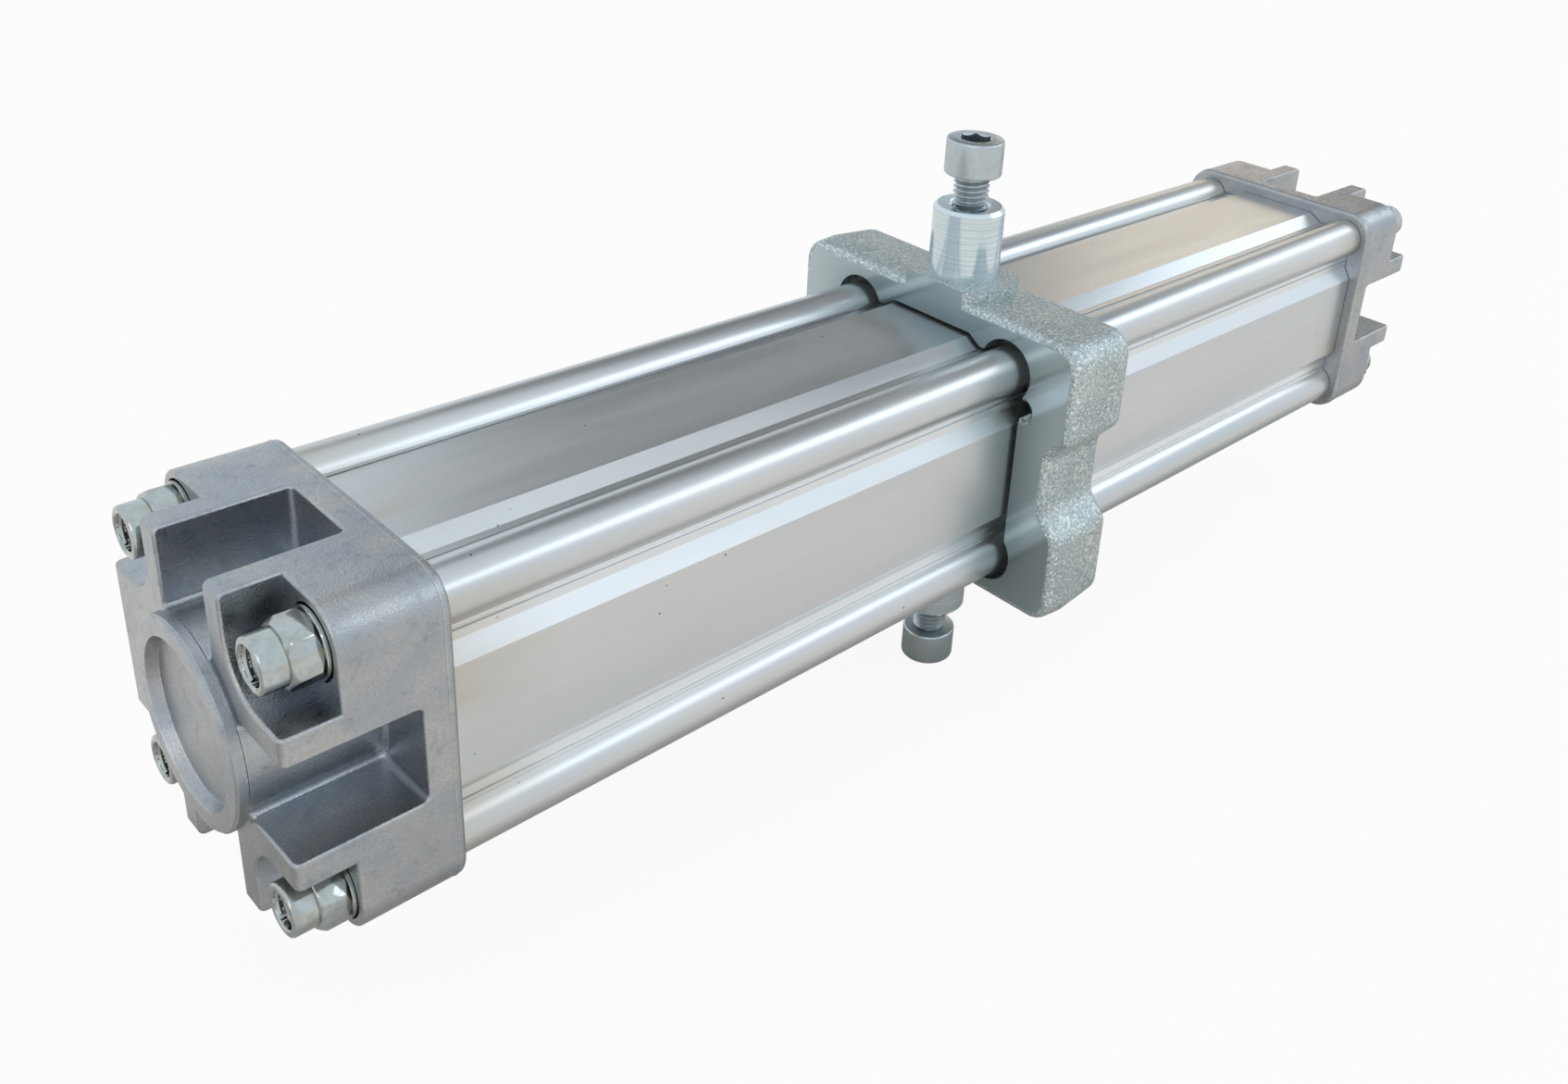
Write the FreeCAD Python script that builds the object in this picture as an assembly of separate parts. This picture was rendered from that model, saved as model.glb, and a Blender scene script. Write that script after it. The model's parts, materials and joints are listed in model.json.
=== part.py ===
import FreeCAD, Part
import math
import os

# Double-acting pneumatic cylinder: 63 mm bore, 300 mm stroke, trunnion block on the barrel.
# Millimetres. The origin is the centre of the rear cap's mounting face. +X runs along the
# rod axis towards the rod end and +Z along the upper trunnion pin. The rod is shown retracted.

# Cylinder
BORE = 63.0
STROKE = 300.0
ROD_D = 20.0
PISTON_LENGTH = 32.4
END_GAP = 0.3            # air left between piston and cap at each end of the stroke
ROD_PROJECTION = 37.0    # mounting face to rod end, retracted

# Caps
CAP_DEPTH = 34.0
CAP_INSERT = 10.0        # length of the collar inside the barrel
CAP_CORNER_R = 8.5
CAP_END_R = 1.6          # soft edge round the mounting face
SPIGOT_UNDER_BORE = 18.0 # bore less the turned pilot's diameter
SPIGOT_STEP = 0.3        # pilot over the spigot's cast root, between the webs
SPIGOT_ROOT = 0.3        # end of the pilot, ahead of the mounting face
SPIGOT_LENGTH = 3.0
SPIGOT_RIM = 5.2         # wall round the recess at its floor
SPIGOT_RECESS_DEPTH = 2.4
SPIGOT_RECESS_TAPER = 0.9
SPIGOT_CHAMFER = 0.6
COLLAR_CHAMFER = 0.8
FLANGE_THICKNESS = 7.2   # solid plate between the windows and the barrel
WINDOW_CORNER_R = 1.0
WINDOW_FLOOR_R = 1.5
WEB_THICKNESS = 6.4
NOTCH_DEPTH = 11.6
NOTCH_ROOM = 10.85       # tie rod axis to the walls of the notch round its nut
RIM_R = 1.2              # soft edge of the flange against the barrel
SADDLE_R = 1.2           # cast blend between the webs and the spigot
CAST_EDGE_R = 0.7        # cast edge round every pocket

# Tie rods and their nuts
TIE_PITCH_UNDER_BORE = 6.5
TIE_EDGE = 9.25          # tie rod axis to the cap's side
TIE_ROD_D = 8.0
TIE_SHANK_RELIEF = 0.8   # thread diameter less the plain shank's
TIE_HOLE_CLEARANCE = 0.4
THREAD_GAP = 0.03        # radial air between a thread drawn plain and its mate
NUT_FLANGE_THICKNESS = 2.4
NUT_FLANGE_STEP = 0.9    # washer flange over the hexagon's flats
NUT_FLAT_STEP = 0.8      # flats over the round collar
NUT_WALL = 1.7           # collar over the tie rod's thread
NUT_HEX_LENGTH = 6.0
NUT_SEAT_DEPTH = 1.8
NUT_SEAT_CLEARANCE = 0.4
NUT_FLANGE_CHAMFER = 0.4
NUT_MOUTH_STEP = 0.15    # countersink at the collar's end, over the thread
NUT_MOUTH_DEPTH = 0.4
NUT_COLLAR_CHAMFER = 0.8
NUT_HEX_CHAMFER = 1.2    # length of the cone that clips the hexagon's corners
NUT_CORNER_ROOM = 0.1
MOUNTING_THREAD_HEIGHT = 0.6
MOUNTING_THREAD_DEPTH = 5.5
ROD_TIP_ROOM = 0.3       # air between a tie rod's end and the step in its nut
TIE_THREAD_LENGTH = 14.0 # from the rod's end to its shank
ROD_END_CHAMFER = 0.6

# Barrel
BARREL_WALL = 2.1        # at the middle of the raised panel of each side
STRIP_WIDTH = 4.1        # slope between the panel and the channel floor
FLOOR_INSET = 10.05      # tie rod axis to the slope's foot
FLOOR_OUT = 2.75         # tie rod axis to the channel floor, square to it
LOBE_R = 6.6
SLOT_WIDTH = 0.7
SLOT_DEPTH = 0.6
SLOT_INSET = 7.55        # tie rod axis to the slot's middle
BARREL_CHAMFER = 0.5
BORE_CHAMFER = 0.8

# Trunnion block
TRUNNION_X = 214.2
BLOCK_THICKNESS = 24.0
BLOCK_WALL = 8.9         # over the barrel's upper and lower panels
WAIST_WALL = 13.0        # beside the barrel's side panels
WAIST_DEPTH = 6.0
WAIST_FLAT_HALF = 8.5
WAIST_SLOPE_HEIGHT = 6.5
BLOCK_CORNER_R = 7.0
BLOCK_WAIST_R = 5.0
BLOCK_EDGE_R = 2.4
PARTING_FROM_FRONT = 8.0 # casting's parting line, widest round the block
FRONT_DRAFT = 0.5        # how much narrower the block is at its front face
BACK_DRAFT = 0.9
OPENING_GAP = 0.8
LOBE_POCKET_GAP = 2.2    # air round the barrel's lobes
SIDE_WALL_GAP = 1.1      # air beside the barrel, where the wall is straight
PIN_D = 20.0
PIN_LENGTH = 20.0
SHOULDER_RISE = 2.5      # the face that the bearing runs against, over the block
PIN_ROOT = 3.0           # overlap of pin and shoulder disc with the block
SHOULDER_DISC_D = 32.0
PIN_CHAMFER = 1.0
PIN_THREAD_DEPTH = 22.0
PIN_MOUTH_CHAMFER = 0.8

# Pin screws, M10 socket head
PIN_SCREW_D = 10.0
PIN_SCREW_LENGTH = 25.0
PIN_SCREW_STANDOFF = 8.8  # thread standing clear between pin end and screw head
SCREW_HEAD_D = 16.0
SCREW_HEAD_HEIGHT = 10.0
SCREW_SOCKET_FLAT = 8.0
SCREW_SOCKET_DEPTH = 5.0
SCREW_HEAD_CHAMFER = 0.8
SCREW_SEAT_CHAMFER = 0.4
SCREW_POINT_CHAMFER = 1.0

# Set screws that lock the block on the barrel
SET_SCREW_D = 6.0
SET_SCREW_LENGTH = 12.0
SET_SCREW_INSET = 6.0
SET_SCREW_BESIDE = 1.7   # axis outside the barrel's side panel
SET_SCREW_FROM_TIE = 9.25
SET_HOLE_DEPTH = 19.0
SET_MOUTH_CHAMFER = 0.8
SET_SOCKET_FLAT = 3.0
SET_SOCKET_DEPTH = 3.0
SET_THREAD_GAP = 0.1
SET_CHAMFER = 0.4
SET_POINT_CHAMFER = 1.0

# Piston
SLIDE_GAP = 0.05         # radial running clearance in the bore
PISTON_RELIEF = 0.4      # radial air between the piston halves and the bore
TENON_STEP = 2.0         # rod over its tenon
GUIDE_RING_WIDTH = 9.8
GUIDE_RING_THICKNESS = 2.8
MAGNET_WIDTH = 6.0
MAGNET_THICKNESS = 6.55
PISTON_SEAL_WIDTH = 5.0
PISTON_SEAL_THICKNESS = 4.9
PISTON_SEAL_INSET = 2.5
PISTON_SEAL_LIP = 0.5    # how far the lip stands above the seal's heel
PISTON_SEAL_HEEL = 2.5
PISTON_SEAL_EDGE = 1.0   # land that wipes the bore
PISTON_SEAL_ROUND = 0.2
PISTON_SEAL_MOUTH = 1.8  # depth of the mouth that the air presses open
PISTON_SEAL_LIP_THICKNESS = 1.4
PISTON_SEAL_MOUTH_FLOOR = 2.2
PISTON_SEAL_INNER_LIP = 1.3
PISTON_EDGE = 0.8        # chamfer on the piston's rims
HALF_GAP = 0.02          # air on each side of the plane where the halves meet
GUIDE_RING_CHAMFER = 0.3
PART_GAP = 0.05          # air between parts clamped or snapped together
TENON_THREAD_STEP = 1.0  # tenon over its thread
PISTON_NUT_WALL = 3.5    # thread to the nut's flats
PISTON_NUT_THICKNESS = 8.0
PISTON_NUT_CHAMFER = 1.0
TENON_OVERRUN = 2.0

# End cushions
SLEEVE_WALL = 4.0        # over the rod
REAR_SLEEVE_LENGTH = 14.0
FRONT_SLEEVE_LENGTH = 18.0
SLEEVE_LEAD = 2.0
SLEEVE_DROP = 0.8
THROAT_GAP = 1.0         # air round the sleeve in the throat
CHAMBER_STEP = 1.0       # chamber over the throat
CUSHION_SEAL_WIDTH = 5.0
CUSHION_SEAL_THICKNESS = 4.0
CUSHION_SEAL_ROOM = 0.1  # radial air behind the cushion seal
CUSHION_SEAL_FUNNEL = 1.2
CUSHION_SEAL_FUNNEL_LENGTH = 2.4
CUSHION_SEAL_ENTRY = 0.6
CUSHION_LIP = 2.4        # cap metal holding the cushion seal
CHAMBER_SHOULDER = 1.0   # cone from the chamber to the throat, and the throat's land
REAR_CHAMBER_FLOOR = 8.0
FRONT_CHAMBER_FLOOR = 22.0
BARREL_SEAL_SECTION_D = 2.0
BARREL_SEAL_OFFSET = 4.0
GROOVE_GAP = 0.3         # air round the barrel seal in its groove

# Rod guide and rod end
BUSH_WALL = 2.0
WIPER_WALL = 4.5         # over the rod
WIPER_LENGTH = 6.0
WIPER_INSET = 0.2
WIPER_LIP = 0.8
WIPER_FACE = 1.6         # depth of the lip's cone
WIPER_FACE_RISE = 1.8
WIPER_HEEL = 1.5
WIPER_RELIEF = 0.5       # air over the rod between the two lips
BUSH_END_ROOM = 0.2
BUSH_CHAMFER = 0.4
ROD_THREAD_D = 10.0
ROD_THREAD_HEIGHT = 0.75
ROD_THREAD_DEPTH = 22.0
ROD_FLAT_CUT = 1.5       # wrench flats below the rod's surface
ROD_FLAT_LENGTH = 9.0
ROD_FLAT_INSET = 3.0
ROD_CHAMFER = 1.0
ROD_THREAD_CHAMFER = 0.8
DRILL_POINT = 0.6        # depth of a drilled hole's point over its radius

# Air ports and cushion needles, on the +Y side
PORT_CORE_D = 15.0
PORT_DEPTH = 12.0
PORT_CHAMFER = 1.2
PASSAGE_D = 6.0
PASSAGE_RUN = 9.0
PASSAGE_REACH = 2.0      # how far the passages run on into the chamber
NEEDLE_D = 7.0
NEEDLE_LENGTH = 12.0
NEEDLE_TIP_LENGTH = 4.0
NEEDLE_TIP_D = 2.4
NEEDLE_POINT_D = 0.8
NEEDLE_CHAMFER = 0.4
NEEDLE_SLOT_WIDTH = 1.0
NEEDLE_SLOT_DEPTH = 1.5
NEEDLE_HOLE_DEPTH = 13.5
NEEDLE_FROM_BARREL = 5.2
NEEDLE_OFFSET = 9.0
NEEDLE_INSET = 0.6
BYPASS_D = 3.0

# Cutters
OVERCUT = 1.0            # how far a cutter runs past the metal

# Derived
BODY_LENGTH = 2 * (CAP_DEPTH + CAP_INSERT + END_GAP) + PISTON_LENGTH + STROKE
BARREL_START = CAP_DEPTH
BARREL_END = BODY_LENGTH - CAP_DEPTH
BORE_R = BORE / 2
TIE_OFFSET = (BORE - TIE_PITCH_UNDER_BORE) / 2
HALF_SIDE = TIE_OFFSET + TIE_EDGE
SPIGOT_R = (BORE - SPIGOT_UNDER_BORE) / 2
SPIGOT_CAST_R = SPIGOT_R - SPIGOT_STEP
ROD_R = ROD_D / 2
CORNERS = [(sy * TIE_OFFSET, sz * TIE_OFFSET) for sy in (1, -1) for sz in (1, -1)]
WINDOW_DEPTH = CAP_DEPTH - FLANGE_THICKNESS
NOTCH_START = TIE_OFFSET - NOTCH_ROOM
WINDOW_HALF_WIDTH = NOTCH_START - WEB_THICKNESS
PANEL_HALF = BORE_R + BARREL_WALL
FLOOR_HALF = TIE_OFFSET + FLOOR_OUT
FLOOR_START = TIE_OFFSET - FLOOR_INSET
PANEL_HALF_WIDTH = FLOOR_START - STRIP_WIDTH
BLOCK_HALF_HEIGHT = PANEL_HALF + BLOCK_WALL
BLOCK_WAIST_HALF = PANEL_HALF + WAIST_WALL
BLOCK_HALF_WIDTH = BLOCK_WAIST_HALF + WAIST_DEPTH
SHOULDER_HALF = BLOCK_HALF_HEIGHT + SHOULDER_RISE
SET_SCREW_OUT = PANEL_HALF + SET_SCREW_BESIDE
SET_SCREW_UP = TIE_OFFSET - SET_SCREW_FROM_TIE
PORT_FROM_FACE = CAP_DEPTH / 2
NEEDLE_FROM_FACE = CAP_DEPTH - NEEDLE_FROM_BARREL
PISTON_REAR = CAP_DEPTH + CAP_INSERT + END_GAP
PISTON_FRONT = PISTON_REAR + PISTON_LENGTH
PISTON_MIDDLE = (PISTON_REAR + PISTON_FRONT) / 2
COLLAR_END = CAP_DEPTH + CAP_INSERT
CUSHION_SEAL_END = COLLAR_END - CUSHION_LIP
CUSHION_SEAL_START = CUSHION_SEAL_END - CUSHION_SEAL_WIDTH
TIE_SHANK_D = TIE_ROD_D - TIE_SHANK_RELIEF
NUT_COLLAR_D = TIE_ROD_D + 2 * NUT_WALL
NUT_FLAT_WIDTH = NUT_COLLAR_D + 2 * NUT_FLAT_STEP
NUT_FLANGE_D = NUT_FLAT_WIDTH + 2 * NUT_FLANGE_STEP
NUT_MOUTH_D = TIE_ROD_D + 2 * NUT_MOUTH_STEP
MOUNTING_THREAD_CORE_D = TIE_ROD_D - 2 * MOUNTING_THREAD_HEIGHT
LOBE_POCKET_R = LOBE_R + LOBE_POCKET_GAP
TENON_D = ROD_D - 2 * TENON_STEP
PISTON_NUT_THREAD_D = TENON_D - 2 * TENON_THREAD_STEP
PISTON_NUT_FLAT_WIDTH = PISTON_NUT_THREAD_D + 2 * PISTON_NUT_WALL
SLEEVE_R = ROD_R + SLEEVE_WALL
MAGNET_R = BORE_R - SLIDE_GAP - GUIDE_RING_THICKNESS - 2 * PART_GAP
MAGNET_INNER_R = MAGNET_R - MAGNET_THICKNESS
CUSHION_THROAT_D = 2 * (SLEEVE_R + THROAT_GAP)
CUSHION_CHAMBER_D = CUSHION_THROAT_D + 2 * CHAMBER_STEP
WIPER_D = ROD_D + 2 * WIPER_WALL
ROD_THREAD_CORE_D = ROD_THREAD_D - 2 * ROD_THREAD_HEIGHT
ROD_FLAT_WIDTH = ROD_D - 2 * ROD_FLAT_CUT
REAR_SLEEVE_END = PISTON_REAR - REAR_SLEEVE_LENGTH
FRONT_SLEEVE_END = PISTON_FRONT + FRONT_SLEEVE_LENGTH
PISTON_NUT_START = REAR_SLEEVE_END - PART_GAP - PISTON_NUT_THICKNESS
TENON_END = PISTON_NUT_START - TENON_OVERRUN
ROD_END = BODY_LENGTH + ROD_PROJECTION
PIN_TIP = SHOULDER_HALF + PIN_LENGTH
HEAD_SEAT = PIN_TIP + PIN_SCREW_STANDOFF
BLOCK_FRONT = TRUNNION_X - BLOCK_THICKNESS / 2
BLOCK_BACK = TRUNNION_X + BLOCK_THICKNESS / 2
X_AXIS = FreeCAD.Vector(1, 0, 0)
Y_AXIS = FreeCAD.Vector(0, 1, 0)
Z_AXIS = FreeCAD.Vector(0, 0, 1)


def vec(x, y, z):
    return FreeCAD.Vector(x, y, z)


def rod_x(r, x0, x1, y=0.0, z=0.0):
    return Part.makeCylinder(r, x1 - x0, vec(x0, y, z), X_AXIS)


def rod_z(r, z0, z1, x=0.0, y=0.0):
    return Part.makeCylinder(r, z1 - z0, vec(x, y, z0), Z_AXIS)


def block(x0, x1, y0, y1, z0, z1):
    return Part.makeBox(x1 - x0, y1 - y0, z1 - z0, vec(x0, y0, z0))


def turned(points):
    """Solid of revolution about X from (x, r) points."""
    loop = [vec(x, r, 0) for x, r in points]
    face = Part.Face(Part.makePolygon(loop + loop[:1]))
    return face.revolve(vec(0, 0, 0), X_AXIS, 360)


def ring_x(r_in, r_out, x0, x1, chamfer=0.0):
    if not chamfer:
        return turned([(x0, r_in), (x0, r_out), (x1, r_out), (x1, r_in)])
    return turned([(x0, r_in), (x0, r_out - chamfer), (x0 + chamfer, r_out),
                   (x1 - chamfer, r_out), (x1, r_out - chamfer), (x1, r_in)])


def hexagon(flat_width, x0, x1, y=0.0, z=0.0):
    """Hexagonal bar along X."""
    r = flat_width / math.sqrt(3)
    loop = [vec(x0, y + r * math.cos(math.radians(60 * k)), z + r * math.sin(math.radians(60 * k)))
            for k in range(6)]
    return Part.Face(Part.makePolygon(loop + loop[:1])).extrude(vec(x1 - x0, 0, 0))


def rounded_face(corners, x):
    """Face in the plane of x whose (y, z, radius) corners are rounded."""
    edges = []
    starts = []
    ends = []
    count = len(corners)
    for k in range(count):
        y, z, r = corners[k]
        here = vec(x, y, z)
        back = vec(x, corners[k - 1][0], corners[k - 1][1]).sub(here).normalize()
        ahead = vec(x, corners[(k + 1) % count][0], corners[(k + 1) % count][1]).sub(here).normalize()
        half = back.getAngle(ahead) / 2
        setback = r / math.tan(half)
        inward = back.add(ahead).normalize()
        starts.append(here.add(back * setback))
        ends.append(here.add(ahead * setback))
        middle = here.add(inward * (r / math.sin(half) - r))
        edges.append(Part.Arc(starts[k], middle, ends[k]).toShape())
    for k in range(count):
        edges.append(Part.makeLine(ends[k], starts[(k + 1) % count]))
    return Part.Face(Part.Wire(Part.__sortEdges__(edges)))


def edges_at_x(shape, x, inside=0.0):
    """Edges that lie in the plane of x, at least `inside` away from the X axis."""
    found = []
    for edge in shape.Edges:
        box = edge.BoundBox
        if abs(box.XMin - x) > 1e-4 or abs(box.XMax - x) > 1e-4:
            continue
        if all(math.hypot(v.Y, v.Z) > inside for v in edge.Vertexes):
            found.append(edge)
    return found


def save(name, solids):
    shape = solids[0] if len(solids) == 1 else Part.makeCompound(solids)
    shape.exportStep("parts/" + name + ".step")
    print(name, len(solids), "valid" if shape.isValid() else "NOT VALID", round(shape.Volume, 1))


def mirrored(shape):
    """The same shape seen from the other end of the cylinder."""
    return shape.mirror(vec(BODY_LENGTH / 2, 0, 0), X_AXIS)


# Profiled barrel

def barrel_profile(panel, half_width, floor, floor_start, lobe_r, x):
    """Square profile with a raised panel on each side and a round lobe on each corner."""
    c = TIE_OFFSET
    foot = c - math.sqrt(lobe_r ** 2 - (floor - c) ** 2)
    tip = c + lobe_r / math.sqrt(2)
    points = [(-half_width, panel), (half_width, panel), (floor_start, floor), (foot, floor),
              (tip, tip), (floor, foot), (floor, floor_start), (panel, half_width)]
    edges = []
    for turn in range(4):
        spots = []
        for y, z in points:
            for _ in range(turn):
                y, z = z, -y
            spots.append(vec(x, y, z))
        for k in (0, 1, 2, 5, 6):
            edges.append(Part.makeLine(spots[k], spots[k + 1]))
        edges.append(Part.Arc(spots[3], spots[4], spots[5]).toShape())
    return Part.Face(Part.Wire(Part.__sortEdges__(edges)))


def make_barrel():
    outside = barrel_profile(PANEL_HALF, PANEL_HALF_WIDTH, FLOOR_HALF, FLOOR_START, LOBE_R, BARREL_START)
    body = outside.extrude(vec(BARREL_END - BARREL_START, 0, 0))
    ends = edges_at_x(body, BARREL_START) + edges_at_x(body, BARREL_END)
    body = body.makeChamfer(BARREL_CHAMFER, ends)
    cuts = [rod_x(BORE_R, BARREL_START - OVERCUT, BARREL_END + OVERCUT)]
    for x0, x1 in ((BARREL_START, BARREL_START + BORE_CHAMFER), (BARREL_END, BARREL_END - BORE_CHAMFER)):
        cuts.append(turned([(x0, 0), (x0, BORE_R + BORE_CHAMFER), (x1, BORE_R), (x1, 0)]))
    hole_r = TIE_ROD_D / 2 + TIE_HOLE_CLEARANCE
    cuts += [rod_x(hole_r, BARREL_START - OVERCUT, BARREL_END + OVERCUT, y, z) for y, z in CORNERS]
    for turn in range(4):
        for side in (1, -1):
            y = side * (TIE_OFFSET - SLOT_INSET)
            slot = block(BARREL_START - OVERCUT, BARREL_END + OVERCUT, y - SLOT_WIDTH / 2, y + SLOT_WIDTH / 2,
                         FLOOR_HALF - SLOT_DEPTH, FLOOR_HALF + OVERCUT)
            slot.rotate(vec(0, 0, 0), X_AXIS, 90 * turn)
            cuts.append(slot)
    return body.cut(cuts)


# Cap castings, drawn at the rear end

def cap_plate():
    """Square block with rounded corners and a soft rim at both ends."""
    h = HALF_SIDE
    r = CAP_CORNER_R
    face = rounded_face([(h, h, r), (-h, h, r), (-h, -h, r), (h, -h, r)], 0.0)
    body = face.extrude(vec(CAP_DEPTH, 0, 0))
    body = body.makeFillet(RIM_R, edges_at_x(body, CAP_DEPTH))
    return body.makeFillet(CAP_END_R, edges_at_x(body, 0.0))


def side_window(turns):
    """Cast pocket in the middle of a side: open outwards and endwise, down to the spigot."""
    w = WINDOW_HALF_WIDTH
    r = WINDOW_CORNER_R
    far = HALF_SIDE + WINDOW_FLOOR_R + 2 * OVERCUT
    pocket = rounded_face([(w, far, r), (-w, far, r), (-w, 0, r), (w, 0, r)], -OVERCUT)
    pocket = pocket.extrude(vec(WINDOW_DEPTH + OVERCUT, 0, 0))
    pocket = pocket.makeFillet(WINDOW_FLOOR_R, edges_at_x(pocket, WINDOW_DEPTH))
    pocket = pocket.cut(rod_x(SPIGOT_CAST_R, -2 * OVERCUT, CAP_DEPTH))
    pocket.rotate(vec(0, 0, 0), X_AXIS, 90 * turns)
    return pocket


def corner_notch(turns):
    """Corner cut away for the tie-rod nut, rounded on the inside round the nut."""
    n = NOTCH_START
    r = OVERCUT
    far = HALF_SIDE + 2 * OVERCUT
    notch = rounded_face([(n, n, NOTCH_ROOM), (far, n, r), (far, far, r), (n, far, r)], -OVERCUT)
    notch = notch.extrude(vec(NOTCH_DEPTH + OVERCUT, 0, 0))
    notch.rotate(vec(0, 0, 0), X_AXIS, 90 * turns)
    return notch


def spigot():
    """Round boss on the mounting face, with a conical recess and the collar in the barrel."""
    r = SPIGOT_R
    cast = SPIGOT_CAST_R
    rr = SPIGOT_R - SPIGOT_RIM
    c = SPIGOT_CHAMFER
    end = -SPIGOT_LENGTH
    floor = end + SPIGOT_RECESS_DEPTH
    boss = turned([(end, rr + SPIGOT_RECESS_TAPER), (end, r - c), (end + c, r), (-2 * SPIGOT_ROOT, r),
                   (-SPIGOT_ROOT, cast), (CAP_DEPTH / 2, cast), (CAP_DEPTH / 2, 0), (floor, 0), (floor, rr)])
    collar = ring_x(0.0, BORE_R - SLIDE_GAP, CAP_DEPTH - OVERCUT, COLLAR_END, COLLAR_CHAMFER)
    return boss, collar


def port_cuts():
    """Threaded port core with its passage, and the cushion needle hole with its bypass."""
    top = HALF_SIDE
    down = vec(0, -1, 0)
    port = Part.makeCylinder(PORT_CORE_D / 2, PORT_DEPTH + OVERCUT,
                             vec(PORT_FROM_FACE, top + OVERCUT, 0), down)
    mouth = Part.makeCone(PORT_CORE_D / 2 + PORT_CHAMFER, PORT_CORE_D / 2, PORT_CHAMFER,
                          vec(PORT_FROM_FACE, top, 0), down)
    start = vec(PORT_FROM_FACE, top - PORT_DEPTH + OVERCUT, 0)
    target = vec(PORT_FROM_FACE + PASSAGE_RUN, CUSHION_CHAMBER_D / 2 - PASSAGE_REACH, 0)
    line = target.sub(start)
    passage = Part.makeCylinder(PASSAGE_D / 2, line.Length, start, line)
    needle = Part.makeCylinder(NEEDLE_D / 2 + THREAD_GAP, NEEDLE_HOLE_DEPTH + OVERCUT,
                               vec(NEEDLE_FROM_FACE, top + OVERCUT, NEEDLE_OFFSET), down)
    bypass = Part.makeCylinder(BYPASS_D / 2, top - SLEEVE_R + PASSAGE_REACH,
                               vec(NEEDLE_FROM_FACE, top, NEEDLE_OFFSET), down)
    return [port, mouth, passage, needle, bypass]


def pocket_edges(plate, skin):
    """Edges that the pockets leave on the plate's skin, outside the spigot."""
    seams = Part.makeCompound(skin.Edges)
    shell = skin.Shells[0]
    found = []
    for edge in plate.Edges:
        middle = edge.valueAt((edge.FirstParameter + edge.LastParameter) / 2)
        if math.hypot(middle.y, middle.z) < SPIGOT_CAST_R + 0.01:
            continue
        spot = Part.Vertex(middle)
        if shell.distToShape(spot)[0] < 1e-4 and seams.distToShape(spot)[0] > 1e-4:
            found.append(edge)
    return found


def saddle_edges(shape):
    """Straight edges along X where the window walls meet the spigot."""
    found = []
    for edge in shape.Edges:
        box = edge.BoundBox
        straight = box.YLength < 1e-3 and box.ZLength < 1e-3 and box.XLength > 1
        if straight and abs(math.hypot(box.YMin, box.ZMin) - SPIGOT_CAST_R) < 0.05:
            found.append(edge)
    return found


def cap_casting():
    boss, collar = spigot()
    groove_r = BORE_R - SLIDE_GAP - BARREL_SEAL_SECTION_D - GROOVE_GAP
    groove_half = BARREL_SEAL_SECTION_D / 2 + GROOVE_GAP
    groove_x = CAP_DEPTH + BARREL_SEAL_OFFSET
    groove = ring_x(groove_r, BORE_R + OVERCUT, groove_x - groove_half, groove_x + groove_half)
    skin = cap_plate()
    pockets = [side_window(turns) for turns in (0, 1, 2)] + [corner_notch(turns) for turns in range(4)]
    plate = skin.cut(pockets)
    plate = plate.makeFillet(CAST_EDGE_R, pocket_edges(plate, skin))
    body = plate.fuse([boss, collar]).removeSplitter()
    body = body.makeFillet(SADDLE_R, saddle_edges(body))
    hole_r = TIE_ROD_D / 2 + TIE_HOLE_CLEARANCE
    seat_r = NUT_FLANGE_D / 2 + NUT_SEAT_CLEARANCE
    seat_end = NOTCH_DEPTH + NUT_SEAT_DEPTH
    holes = [rod_x(hole_r, -OVERCUT, CAP_DEPTH + OVERCUT, y, z) for y, z in CORNERS]
    seats = [rod_x(seat_r, NOTCH_DEPTH - OVERCUT, seat_end, y, z) for y, z in CORNERS]
    return body.cut(holes + seats + [groove] + port_cuts())


def cushion_cavity(chamber_floor):
    """Chamber, seal groove and throat that the cushion sleeve enters."""
    throat = CUSHION_THROAT_D / 2
    chamber = CUSHION_CHAMBER_D / 2
    seat = SLEEVE_R + CUSHION_SEAL_THICKNESS + CUSHION_SEAL_ROOM
    land = CUSHION_SEAL_START - CHAMBER_SHOULDER
    end = COLLAR_END + OVERCUT
    return turned([(chamber_floor, 0), (chamber_floor, chamber), (land - CHAMBER_SHOULDER, chamber),
                   (land, throat), (CUSHION_SEAL_START, throat), (CUSHION_SEAL_START, seat),
                   (CUSHION_SEAL_END, seat), (CUSHION_SEAL_END, throat), (end, throat), (end, 0)])


def make_rear_cap():
    return cap_casting().cut(cushion_cavity(REAR_CHAMBER_FLOOR))


def wiper_seat_end():
    return WIPER_LENGTH + SPIGOT_RECESS_DEPTH - SPIGOT_LENGTH


def make_front_cap():
    start = -SPIGOT_LENGTH - OVERCUT
    bush_bore = rod_x(ROD_R + BUSH_WALL + 2 * THREAD_GAP, start, FRONT_CHAMBER_FLOOR + OVERCUT)
    wiper_bore = rod_x(WIPER_D / 2 + PART_GAP, start, wiper_seat_end())
    cap = cap_casting().cut([cushion_cavity(FRONT_CHAMBER_FLOOR), bush_bore, wiper_bore])
    return mirrored(cap)


# Seals and guide parts held by the caps

def make_barrel_seal():
    section = BARREL_SEAL_SECTION_D / 2
    return Part.makeTorus(BORE_R - SLIDE_GAP - section - PART_GAP, section,
                          vec(CAP_DEPTH + BARREL_SEAL_OFFSET, 0, 0), X_AXIS)


def make_cushion_seal():
    r_in = SLEEVE_R + SLIDE_GAP
    r_out = SLEEVE_R + CUSHION_SEAL_THICKNESS
    x0 = CUSHION_SEAL_START + PART_GAP
    x1 = CUSHION_SEAL_END - PART_GAP
    f = CUSHION_SEAL_FUNNEL
    return turned([(x0, r_in + f), (x0, r_out), (x1, r_out), (x1, r_in + CUSHION_SEAL_ENTRY), (x1 - f, r_in),
                   (x0 + CUSHION_SEAL_FUNNEL_LENGTH, r_in)])


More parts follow.
